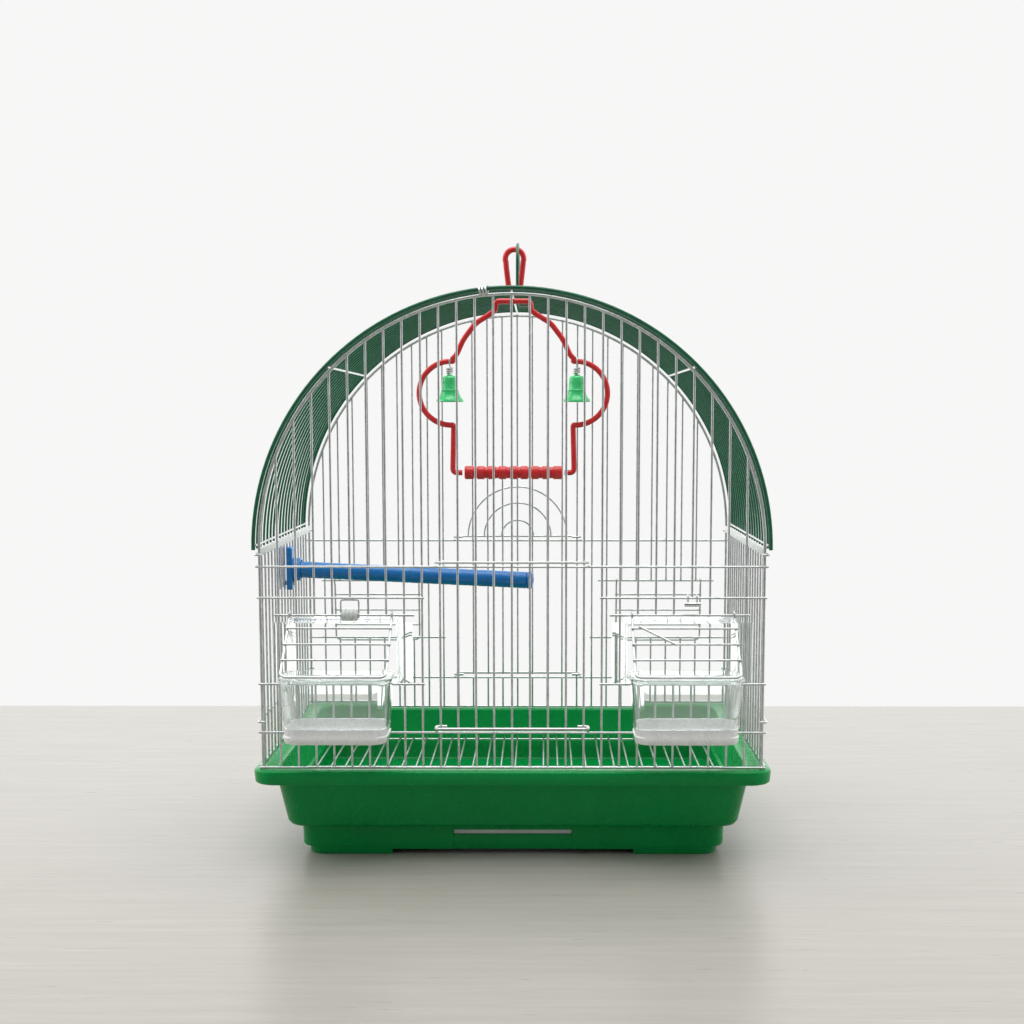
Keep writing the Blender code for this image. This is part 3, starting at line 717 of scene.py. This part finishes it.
cupSet = {
    "middleY": midY - 125.8 * mm,
    "halfWidth": 37.2 * mm,
    "halfDepth": 20.2 * mm,
    "rim": 77 * mm,
    "floor": 120 * mm,
    "taper": 3.6 * mm,
    "corner": 8 * mm,
    # each ring: insets from the half width and half depth, height over the floor or drop from the rim
    "footOutside": ((3, 4, 0), (0.6, 2, 0.7), (0, 1.4, 2.2), (-0.3, 1.3, 5), (0.3, 1.8, 5.8)),
    "rimRings": ((1.4, 1, 4), (0.9, 0.6, 2.2), (0, 0, 1.4), (0, 0, 0.4), (0.4, 0.4, 0), (1.5, 1.5, 0),
                 (1.9, 1.9, 0.5)),
    "footInside": ((1.5, 2.9, 6), (2.9, 4.5, 3.4), (5.5, 6.5, 2.6)),
    "tongue": (32 * mm, 6.5 * mm, 4.9 * mm),  # half width, then its underside and top below the rim
    "tongueEnd": 96 * mm,
    "seam": 10.4 * mm,  # below this the walls are frosted
}


def makeCup(centre):
    rim, floor = springZ - cupSet["rim"], springZ - cupSet["floor"]
    w, d = cupSet["halfWidth"], cupSet["halfDepth"]
    foot = w - cupSet["taper"]
    rings = [(foot - x, d - y, floor + z) for x, y, z in inMetres(cupSet["footOutside"])]
    rings += [(w - x, d - y, rim - z) for x, y, z in inMetres(cupSet["rimRings"])]
    rings += [(foot - x, d - y, floor + z) for x, y, z in inMetres(cupSet["footInside"])]
    cup = growRings(rings, cupSet["corner"], segments=10)
    settle(cup, (centre, cupSet["middleY"], 0))
    halfTongue, drop, lift = cupSet["tongue"]
    start = cupSet["middleY"] + d - 1 * mm
    end = midY - cupSet["tongueEnd"]
    tongue = block((centre - halfTongue, start, rim - drop), (centre + halfTongue, end, rim - lift))
    shape(cup, tongue, "UNION")
    softEdges(cup, 0.3 * mm, 2, 50)
    return cup


def splitCup(cup, centre):
    # the frosted foot is parted from the clear walls at the seam
    seam = springZ - cupSet["floor"] + cupSet["seam"]
    reach = 60 * mm
    low = (centre - reach, cupSet["middleY"] - reach, seam - reach)
    high = (centre + reach, cupSet["middleY"] + reach, seam)
    choose(cup)
    bpy.ops.object.duplicate()
    foot = shape(bpy.context.object, block(low, high), "INTERSECT")
    shape(cup, block(low, (high[0], high[1], seam + 0.02 * mm)), "DIFFERENCE")
    for piece in (cup, foot):
        smooth(piece, 40)
    return cup, foot


hoodSet = {
    "low": 90 * mm,
    "high": 45 * mm,
    "face": 3.4 * mm,
    "depth": 27 * mm,
    "halfWidth": 38 * mm,
    "wing": 47 * mm,
    "wall": 1.6 * mm,
}


def makeHood(centre):
    low, high = springZ - hoodSet["low"], springZ - hoodSet["high"]
    face = midY - halfD + hoodSet["face"]
    w, wall = hoodSet["halfWidth"], hoodSet["wall"]
    hood = block((centre - w, face, low), (centre + w, face + hoodSet["depth"], high))
    softEdges(hood, 3 * mm, 4)
    wing = block((centre - hoodSet["wing"], face - 0.4 * mm, low + 1 * mm),
                 (centre + hoodSet["wing"], face + 1.2 * mm, high - 1 * mm))
    softEdges(wing, 0.4 * mm, 2)
    shape(hood, wing, "UNION")
    tunnel = block((centre - w + wall, face - 5 * mm, low + wall),
                   (centre + w - wall, face + hoodSet["depth"] + 9 * mm, high - wall))
    softEdges(tunnel, 2 * mm, 4)
    shape(hood, tunnel, "DIFFERENCE")
    smooth(hood, 40)
    return hood


for name, sign in (("left", -1), ("right", 1)):
    middle = sign * gateSet["middle"]
    walls, foot = splitCup(makeCup(middle), middle)
    dress(walls, name + "Cup", "clear_plastic", name + "_cup", (name + "_feeder_cup",))
    dress(foot, name + "CupFoot", "clear_plastic", name + "_cup")
    foot.data.materials[0] = frostedBase
    dress(makeHood(middle), name + "Hood", "clear_plastic", "cage", (name + "_feeder_hood",))
print("feeders made")

swingSet = {
    "y": midY - 48 * mm,
    "rod": 1.95 * mm,
    "lobe": (43.4 * mm, 107.4 * mm, 22 * mm),
    "neck": ((12, 170.35), (12.3, 164.2), (16, 161.5), (26, 155.4), (34.5, 144.3), (39.2, 134), (42, 131)),
    "legs": ((41.6, 81.5), (42.3, 52.4), (35.6, 52.4)),
    "perchHeight": 52.4 * mm,
    "perchRadius": 4.7 * mm,
    "perchHalf": 34 * mm,
    "ribs": 9,
}


def makeSwingFrame():
    lobeX, lobeZ, lobeRadius = swingSet["lobe"]
    half = [Vector((x * mm, z * mm)) for x, z in swingSet["neck"]]
    lobe = [Vector(p) for p in arc(lobeRadius, 95, -95, 28, (lobeX, lobeZ))]
    legs = [Vector((x * mm, z * mm)) for x, z in swingSet["legs"]]
    half += lobe + legs
    right = [Vector((p.x, swingSet["y"], springZ + p.y)) for p in half]
    corners = [Vector((-p.x, p.y, p.z)) for p in reversed(right)] + right
    return wires([softBends(corners, 3.4 * mm, 4)], swingSet["rod"], sides=14)


def makeSwingPerch():
    # a plain roller with shallow grooves
    length, radius = 2 * swingSet["perchHalf"], swingSet["perchRadius"]
    groove = 0.7 * mm
    profile = [(0.6 * mm, 0), (radius - 0.5 * mm, 0), (radius, 0.5 * mm)]
    for rib in range(1, swingSet["ribs"]):
        place = length * rib / swingSet["ribs"]
        for offset, dip in ((-1.5, 0), (-0.9, 1), (0.9, 1), (1.5, 0)):
            profile.append((radius - groove * dip, place + offset * mm))
    profile += [(radius, length - 0.5 * mm), (radius - 0.5 * mm, length), (0.6 * mm, length)]
    perch = lathe(profile, 40)
    smooth(perch, 40)
    start = (-swingSet["perchHalf"], swingSet["y"], springZ + swingSet["perchHeight"])
    return settle(perch, start, (0, math.radians(90), 0))


dress(makeSwingFrame(), "swingFrameRod", "red_plastic", "swing", ("swing_frame",))
dress(makeSwingPerch(), "swingRoller", "red_plastic", "swing_roller", ("swing_perch",))

bellSet = {
    "x": 44 * mm,
    "mouth": 101.4 * mm,
    "rodHeight": 129.6 * mm,
    # radius and height from the crown down the outside, round the lip and up the inside
    "profile": ((0.3, 18.9), (2, 18.8), (2.3, 18.1), (4, 17.9), (5, 17.2), (5.4, 16.2), (5.6, 13),
                (5.9, 8.6), (6.4, 8.1), (6.3, 7.4), (6.7, 5.6), (7.6, 3.9), (8.6, 2.5), (9.6, 1.3),
                (9.9, 0.4), (9.5, 0), (8.8, 0.1), (8, 1), (7, 2.6), (5.7, 5.2), (5.1, 8), (4.6, 12.6),
                (3.8, 15.8), (2.6, 16.8), (0.3, 17)),
    "crown": 19 * mm,
    "loop": 2.7 * mm,
    "eye": 1.5 * mm,
    "coil": 2.2 * mm,
    "coilTurns": 3,
    "coilRise": (4.6 * mm, 4.2 * mm),  # where the coil starts over the crown and how far it comes down
    "wire": 0.55 * mm,
    "pivot": 11.5 * mm,  # the clapper hangs from here, over the mouth
    "hang": 5.3 * mm,
    "hook": 1.7 * mm,
    "stem": 0.4 * mm,
    "ball": 2 * mm,
}


def makeBell(x):
    bell = lathe([(r * mm, h * mm) for r, h in bellSet["profile"]], 40)
    smooth(bell, 50)
    return settle(bell, (x, swingSet["y"], springZ + bellSet["mouth"]))


def makeHanger(x):
    # wire loop over the swing's rod, a stem through the crown and a small eye inside
    y, rodZ = swingSet["y"], springZ + bellSet["rodHeight"]
    crown = springZ + bellSet["mouth"] + bellSet["crown"]
    loop = [(x, y + dy, z) for dy, z in arc(bellSet["loop"], -60, 240, 22, (0, rodZ))]
    eye = [(x, y + dy, z) for dy, z in arc(bellSet["eye"], 90, 330, 14, (0, crown - 6 * mm))]
    # a tight coil sits between the loop and the crown
    start, drop = bellSet["coilRise"]
    coilSteps = 14
    count = bellSet["coilTurns"] * coilSteps
    coil = []
    for step in range(count + 1):
        around = math.tau * step / coilSteps
        z = crown + start - drop * step / count
        coil.append((x + bellSet["coil"] * math.sin(around), y + bellSet["coil"] * math.cos(around), z))
    stem = [(x, y, crown), (x, y, crown - 4.5 * mm)]
    return wires([loop + coil + stem + eye], bellSet["wire"], sides=8)


def makeClapper(x):
    y = swingSet["y"]
    pivot = springZ + bellSet["mouth"] + bellSet["pivot"]
    ballZ = pivot - bellSet["hang"]
    hook = [(x + dx, y, z) for dx, z in arc(bellSet["hook"], -30, 270, 18, (0, pivot))]
    stem = wires([hook + [(x, y, ballZ + 1 * mm)]], bellSet["stem"], sides=8)
    ball = settle(lathe(arc(bellSet["ball"], -84, 84, 14, (0, ballZ)), 20), (x, y, 0))
    smooth(ball, 50)
    return joined([ball, stem])


for name, sign in (("left", -1), ("right", 1)):
    x = sign * bellSet["x"]
    dress(makeBell(x), name + "Bell", "bell_plastic", name + "_bell", (name + "_bell_shell",))
    dress(makeHanger(x), name + "BellHanger", "zinc_wire", name + "_bell", (name + "_bell_hanger",))
    dress(makeClapper(x), name + "Clapper", "zinc_wire", name + "_clapper", (name + "_bell_clapper",))
print("swing and bells made")

perchSet = {
    "start": Vector((-162 * mm, midY, springZ - 20.5 * mm)),
    "end": Vector((13.5 * mm, midY - 20 * mm, springZ - 26.5 * mm)),
    "radius": 6 * mm,
    "cap": 6.2 * mm,
    "capLength": 4 * mm,
    "flutes": 24,
    "fluteHalf": 1.2 * mm,
    "fluteDepth": 0.18 * mm,
    "plateHalf": 7.5 * mm,
    "plateLow": 35 * mm,
    "plateHigh": 4 * mm,
    "innerPlate": (-167.4 * mm, -163 * mm),
    "outerPlate": (-174.2 * mm, -171.9 * mm),
    "screwDrop": 30.5 * mm,
    "screwHead": -175.5 * mm,
    "hole": 2.2 * mm,
    "collar": (7.1 * mm, 8.4 * mm, 5.6 * mm),
}


def layAlong(piece, start, direction):
    turn = Vector((0, 0, 1)).rotation_difference(direction).to_euler()
    return settle(piece, start, turn)


def makePerchRod():
    run = perchSet["end"] - perchSet["start"]
    length = run.length - perchSet["capLength"] - 0.3 * mm
    r = perchSet["radius"]
    profile = [(0.5 * mm, 0), (r - 0.4 * mm, 0), (r, 0.4 * mm)]
    # shallow grip flutes all along the rod
    half, dip = perchSet["fluteHalf"], perchSet["fluteDepth"]
    for index in range(1, perchSet["flutes"]):
        place = length * index / perchSet["flutes"]
        profile += [(r, place - half), (r - dip, place), (r, place + half)]
    profile += [(r, length - 0.4 * mm), (r - 0.4 * mm, length), (0.5 * mm, length)]
    rod = lathe(profile, 40)
    smooth(rod, 40)
    return layAlong(rod, perchSet["start"], run.normalized())


def makePerchCap():
    run = perchSet["end"] - perchSet["start"]
    r, length = perchSet["cap"], perchSet["capLength"]
    profile = [(0.5 * mm, 0), (r - 0.2 * mm, 0), (r, 0.2 * mm), (r, length * 0.55),
               (r * 0.94, length * 0.8), (r * 0.78, length), (2.4 * mm, length),
               (2 * mm, length - 0.5 * mm), (0.5 * mm, length - 0.6 * mm)]
    cap = lathe(profile, 40)
    smooth(cap, 40)
    return layAlong(cap, perchSet["end"] - run.normalized() * length, run.normalized())


def makeClampPlate(faces):
    half = perchSet["plateHalf"]
    low, high = springZ - perchSet["plateLow"], springZ - perchSet["plateHigh"]
    plate = block((faces[0], midY - half, low), (faces[1], midY + half, high))
    softEdges(plate, 0.9 * mm, 4)
    bpy.ops.mesh.primitive_cylinder_add(radius=perchSet["hole"], depth=20 * mm, vertices=28)
    place = (faces[0], midY, springZ - perchSet["screwDrop"])
    drill = settle(bpy.context.object, place, (0, math.radians(90), 0))
    shape(plate, drill, "DIFFERENCE")
    smooth(plate, 40)
    return plate


def makePerchCollar():
    # short sleeve on the inner plate, round the foot of the rod
    inner, outer, length = perchSet["collar"]
    edge = 0.4 * mm
    profile = [(inner, 0), (outer, 0), (outer, length - edge), (outer - edge, length), (inner, length)]
    collar = lathe(profile, 40)
    drill = lathe([(inner, -1 * mm), (inner, length + 1 * mm)], 40)
    shape(collar, drill, "DIFFERENCE")
    smooth(collar, 40)
    place = (perchSet["innerPlate"][1], midY, perchSet["start"].z)
    return settle(collar, place, (0, math.radians(90), 0))


def makeClampScrew():
    # domed head with a slot across it, and a plain shank
    profile = ((0.3, 0), (1.6, 0.05), (2.6, 0.25), (3.2, 0.6), (3.4, 1), (3.3, 1.2), (1.8, 1.2), (1.8, 1.4),
               (1.8, 14), (1.4, 14.5), (0.3, 14.5))
    screw = lathe([(r * mm, h * mm) for r, h in profile], 32)
    z = springZ - perchSet["screwDrop"]
    head = perchSet["screwHead"]
    settle(screw, (head, midY, z), (0, math.radians(90), 0))
    slotHalf, reach = 0.45 * mm, 4 * mm
    low = (head - 1 * mm, midY - reach, z - slotHalf)
    high = (head + 0.5 * mm, midY + reach, z + slotHalf)
    shape(screw, block(low, high), "DIFFERENCE")
    smooth(screw, 40)
    return screw


dress(makePerchRod(), "perchRod", "blue_plastic", "side_perch", ("perch_rod",))
dress(makePerchCap(), "perchCap", "blue_plastic", "side_perch", ("perch_end_cap",))
innerPlate = makeClampPlate(perchSet["innerPlate"])
dress(innerPlate, "perchInnerPlate", "blue_plastic", "cage", ("perch_clamp_inner",))
dress(makePerchCollar(), "perchCollar", "blue_plastic", "cage")
outerPlate = makeClampPlate(perchSet["outerPlate"])
dress(outerPlate, "perchOuterPlate", "blue_plastic", "cage", ("perch_clamp_outer",))
dress(makeClampScrew(), "perchScrew", "zinc_wire", "cage", ("perch_clamp_screw",))
print("perch made")

handleSet = {
    "plane": 2.4 * mm,
    "reach": 18 * mm,
    "wrap": 2.3 * mm,
    "top": 214.4 * mm,
    "bow": 14 * mm,
    "turns": 3,
    "coilPitch": 2.5 * mm,
    "wire": 1.15 * mm,
}


def makeHandle():
    # the wire climbs from one roof wire, bows over and comes down; its ends coil round the roof wires
    foot = archZ + roofSet["radius"]
    plane, reach, wrap = handleSet["plane"], handleSet["reach"], handleSet["wrap"]
    top, bow = springZ + handleSet["top"], handleSet["bow"]
    coilSteps = 12
    coil = []
    for step in range(handleSet["turns"] * coilSteps + 1):
        turn = math.radians(90) - math.tau * step / coilSteps
        slip = handleSet["coilPitch"] * step / coilSteps
        coil.append((plane + slip, reach + wrap * math.cos(turn), foot + wrap * math.sin(turn)))
    half = coil[::-1] + [(plane, reach, foot + wrap + 2 * mm)]
    half += [(plane, reach * math.cos(math.radians(a)), top - bow + bow * math.sin(math.radians(a)))
             for a in range(0, 91, 6)]
    path = [(x, midY + y, z) for x, y, z in half]
    path += [(x, midY - y, z) for x, y, z in reversed(half[:-1])]
    return wires([path], handleSet["wire"], sides=12)


loopSet = {
    "centre": 204.4 * mm,
    "radius": 6.6 * mm,
    "rod": 2.1 * mm,
    "legs": 2.3 * mm,
    "below": 1.2 * mm,  # the legs end this far under the middle roof wire
    "knee": 3.4 * mm,
    "shoulders": ((4.1, 8.4), (5.9, 23.4)),  # half width and height over the roof wires, up each side
}


def makeHangingLoop():
    # a drop: round at the top, drawn in to two close legs over the middle roof wire
    crown = archZ + roofSet["radius"]
    low = archZ + roofSet["crossRadius"] - loopSet["below"]
    top = springZ + loopSet["centre"]
    half = [(loopSet["legs"], low), (loopSet["legs"], crown + loopSet["knee"])]
    half += [(x * mm, crown + z * mm) for x, z in loopSet["shoulders"]]
    half += arc(loopSet["radius"], -20, 90, 18, (0, top))
    path = [(x, midY, z) for x, z in half]
    path += [(-x, y, z) for x, y, z in reversed(path[:-1])]
    return wires([softBends(path, 3.5 * mm, 3)], loopSet["rod"], sides=16)


dress(makeHandle(), "carryHandleWire", "green_coated_wire", "cage", ("carry_handle",))
dress(makeHangingLoop(), "hangingLoop", "red_plastic", "cage", ("hanging_loop",))

roofClip = {
    "angle": 96.1,
    "radius": 170.6 * mm,
    "coil": 2.6 * mm,
    "turns": 3,
    "length": 6 * mm,
    "wire": 0.7 * mm,
}


def makeRoofClip():
    # a short coil wound round the arch wires; across runs out from the arch, forward runs along it
    turn = math.radians(roofClip["angle"])
    across = Vector((math.cos(turn), 0, math.sin(turn)))
    forward = Vector((-math.sin(turn), 0, math.cos(turn)))
    middle = Vector((0, midY - halfD, archZ)) + across * roofClip["radius"]
    steps = roofClip["turns"] * 16
    coil = []
    for step in range(steps + 1):
        around = math.tau * step / 16
        ring = across * math.cos(around) + Vector((0, 1, 0)) * math.sin(around)
        coil.append(middle + ring * roofClip["coil"] + forward * roofClip["length"] * (step / steps - 0.5))
    return wires([coil], roofClip["wire"], sides=12)


gateHardware = {
    "roller": 3.9 * mm,
    "bore": 1.6 * mm,
    "rollerLength": 10.6 * mm,
    "rings": 4,
    "hook": 2 * mm,
    "stapleReach": 6 * mm,
    "stapleHook": 1.45 * mm,
    "stapleWire": 0.55 * mm,
    "clipHalf": 5.5 * mm,
    "clipDrop": 4 * mm,
    "clipForward": 1.9 * mm,
    "clipBar": 1.5 * mm,
    "clipHooks": 3 * mm,
}


def makeGateRoller():
    # ribbed white bush turning on the hinge wire
    r, length = gateHardware["roller"], gateHardware["rollerLength"]
    profile = [(gateHardware["bore"], 0), (r - 0.5 * mm, 0)]
    for rib in range(gateHardware["rings"]):
        start = length * rib / gateHardware["rings"]
        step = length / gateHardware["rings"]
        profile += [(r, start + step * 0.2), (r, start + step * 0.7), (r - 0.7 * mm, start + step * 0.85)]
    profile += [(r - 0.7 * mm, length), (gateHardware["bore"], length)]
    roller = lathe(profile, 32)
    smooth(roller, 40)
    hingeY = midY - halfD - cage["layer"]
    place = (wireX(5) - length / 2, hingeY, springZ - panelSet["gateHinge"])
    return settle(roller, place, (0, math.radians(90), 0))


def makeRollerStaple():
    # wire staple: each leg hooks round the hinge wire beside the roller
    x, y, z = wireX(5), midY - halfD - cage["layer"], springZ - panelSet["gateHinge"]
    top = springZ - panelSet["shortWire"] - cage["wire"] - gateHardware["stapleWire"] - 0.1 * mm
    reach, hook = gateHardware["stapleReach"], gateHardware["stapleHook"]
    leg = [(x - reach, y + dy, dz) for dy, dz in arc(hook, -60, -270, 14, (0, z))] + [(x - reach, y, top)]
    path = leg + [(2 * x - px, py, pz) for px, py, pz in reversed(leg)]
    return wires([softBends(path, 1.6 * mm, 3)], gateHardware["stapleWire"], sides=10)


def makeGateClip():
    # a short bar hung by two open hooks from the short wire
    x, y, z = wireX(24), midY - halfD - cage["layer"], springZ - panelSet["shortWire"]
    half, drop, forward = gateHardware["clipHalf"], gateHardware["clipDrop"], gateHardware["clipForward"]
    ends = [(x + end, y - forward, z - drop) for end in (-half, half)]
    bar = wires([ends], gateHardware["clipBar"], sides=14)
    hooks = []
    for side in (-1, 1):
        hookX = x + side * gateHardware["clipHooks"]
        bend = [(hookX, py, pz) for py, pz in arc(gateHardware["hook"], 200, -60, 20, (y, z))]
        hooks.append([(hookX, y - forward, z - drop + 0.4 * mm)] + bend)
    return joined([bar, wires(hooks, gateHardware["stapleWire"])])


dress(makeRoofClip(), "roofClipWire", "zinc_wire", "cage", ("roof_clip",))
dress(makeGateRoller(), "gateRoller", "white_plastic", "cage", ("left_gate_roller",))
dress(makeRollerStaple(), "rollerStaple", "zinc_wire", "cage")
dress(makeGateClip(), "gateClip", "zinc_wire", "cage", ("right_gate_clip",))
print("handle, loop and clips made")

room = {
    "tableBack": 0.44,
    "tableFront": -1.6,
    "halfWidth": 2.2,
    "tableColour": (0.385, 0.366, 0.333),
    "tableDark": (0.315, 0.298, 0.266),
    "tableRough": (0.26, 0.36),
    "wallSeen": 0.93,
    "lightBehind": 1.62,  # the room is brightest behind the cage and dim in front of it
    "lightInFront": 0.12,
}


def makeTable():
    bpy.ops.mesh.primitive_plane_add(size=1)
    table = bpy.context.object
    table.name = "table"
    table.scale = (2 * room["halfWidth"], room["tableBack"] - room["tableFront"], 1)
    settle(table, (0, (room["tableBack"] + room["tableFront"]) / 2, 0))
    surface = bpy.data.materials.new("tableTop")
    surface.use_nodes = True
    tree = surface.node_tree
    link = tree.links.new
    shader = tree.nodes["Principled BSDF"]
    where = node(tree, "TexCoord")
    # long faint streaks along X, as in pale veneer
    stretch = node(tree, "Mapping", {"Scale": (1.2, 26, 1)})
    streaks = node(tree, "Group", {"Scale": 5.0, "Low": 0.0, "High": 1.0}, node_tree=mottle)
    rough = node(tree, "Group", {
        "Scale": 9.0, "Low": room["tableRough"][0], "High": room["tableRough"][1]}, node_tree=mottle)
    colour = node(tree, "Mix", {
        6: (*room["tableDark"], 1), 7: (*room["tableColour"], 1)}, data_type="RGBA")
    link(where.outputs["Object"], stretch.inputs["Vector"])
    link(stretch.outputs["Vector"], streaks.inputs["Vector"])
    link(stretch.outputs["Vector"], rough.inputs["Vector"])
    link(streaks.outputs["Value"], colour.inputs["Factor"])
    link(colour.outputs[2], shader.inputs["Base Color"])
    link(rough.outputs["Value"], shader.inputs["Roughness"])
    table.data.materials.append(surface)


def makeRoom():
    world = bpy.data.worlds.new("studio")
    world.use_nodes = True
    tree = world.node_tree
    link = tree.links.new
    sky = tree.nodes["Background"]
    where = node(tree, "TexCoord")
    parts = node(tree, "SeparateXYZ")
    glow = node(tree, "MapRange")
    setInputs(glow, {
        "From Min": -1.0, "From Max": 1.0, "To Min": room["lightInFront"], "To Max": room["lightBehind"]})
    path = node(tree, "LightPath")
    seen = node(tree, "Mix", {3: room["wallSeen"]}, data_type="FLOAT")
    link(where.outputs["Generated"], parts.inputs["Vector"])
    link(parts.outputs["Y"], glow.inputs["Value"])
    link(path.outputs["Is Camera Ray"], seen.inputs["Factor"])
    link(glow.outputs["Result"], seen.inputs[2])
    setInputs(sky, {"Color": (1, 1, 0.995, 1)})
    link(seen.outputs[0], sky.inputs["Strength"])
    bpy.context.scene.world = world


lamps = (
    # name, place, size, watts: all aimed at the middle of the cage
    ("overhead", (0.0, -0.2, 1.7), 1.2, 16),
    ("windowLeft", (-1.5, 0.1, 1.1), 1.0, 8),
    ("softRight", (1.5, 0.1, 1.0), 1.0, 5),
)


def makeLamps():
    aim = Vector((0, midY, springZ))
    for name, place, size, watts in lamps:
        data = bpy.data.lights.new(name, "AREA")
        data.size = size
        data.energy = watts
        lamp = bpy.data.objects.new(name, data)
        lamp.location = place
        lamp.rotation_euler = (aim - Vector(place)).to_track_quat("-Z", "Y").to_euler()
        bpy.context.collection.objects.link(lamp)


lens = {
    "place": (0.0212, -1.0337, 0.2983),
    "tilt": 84,
    "turn": 0.0039,
    "length": 50.47,
    "shift": (-0.0256, 0.056),
}


def makeCamera():
    data = bpy.data.cameras.new("camera")
    data.sensor_width = 36
    data.lens = lens["length"]
    data.shift_x, data.shift_y = lens["shift"]
    data.clip_start = 0.01
    camera = bpy.data.objects.new("camera", data)
    camera.location = lens["place"]
    camera.rotation_euler = (math.radians(lens["tilt"]), 0, lens["turn"])
    bpy.context.collection.objects.link(camera)
    bpy.context.scene.camera = camera


makeTable()
makeRoom()
makeLamps()
makeCamera()
bpy.context.scene.view_settings.view_transform = "Standard"
deselect()
print("stage set")
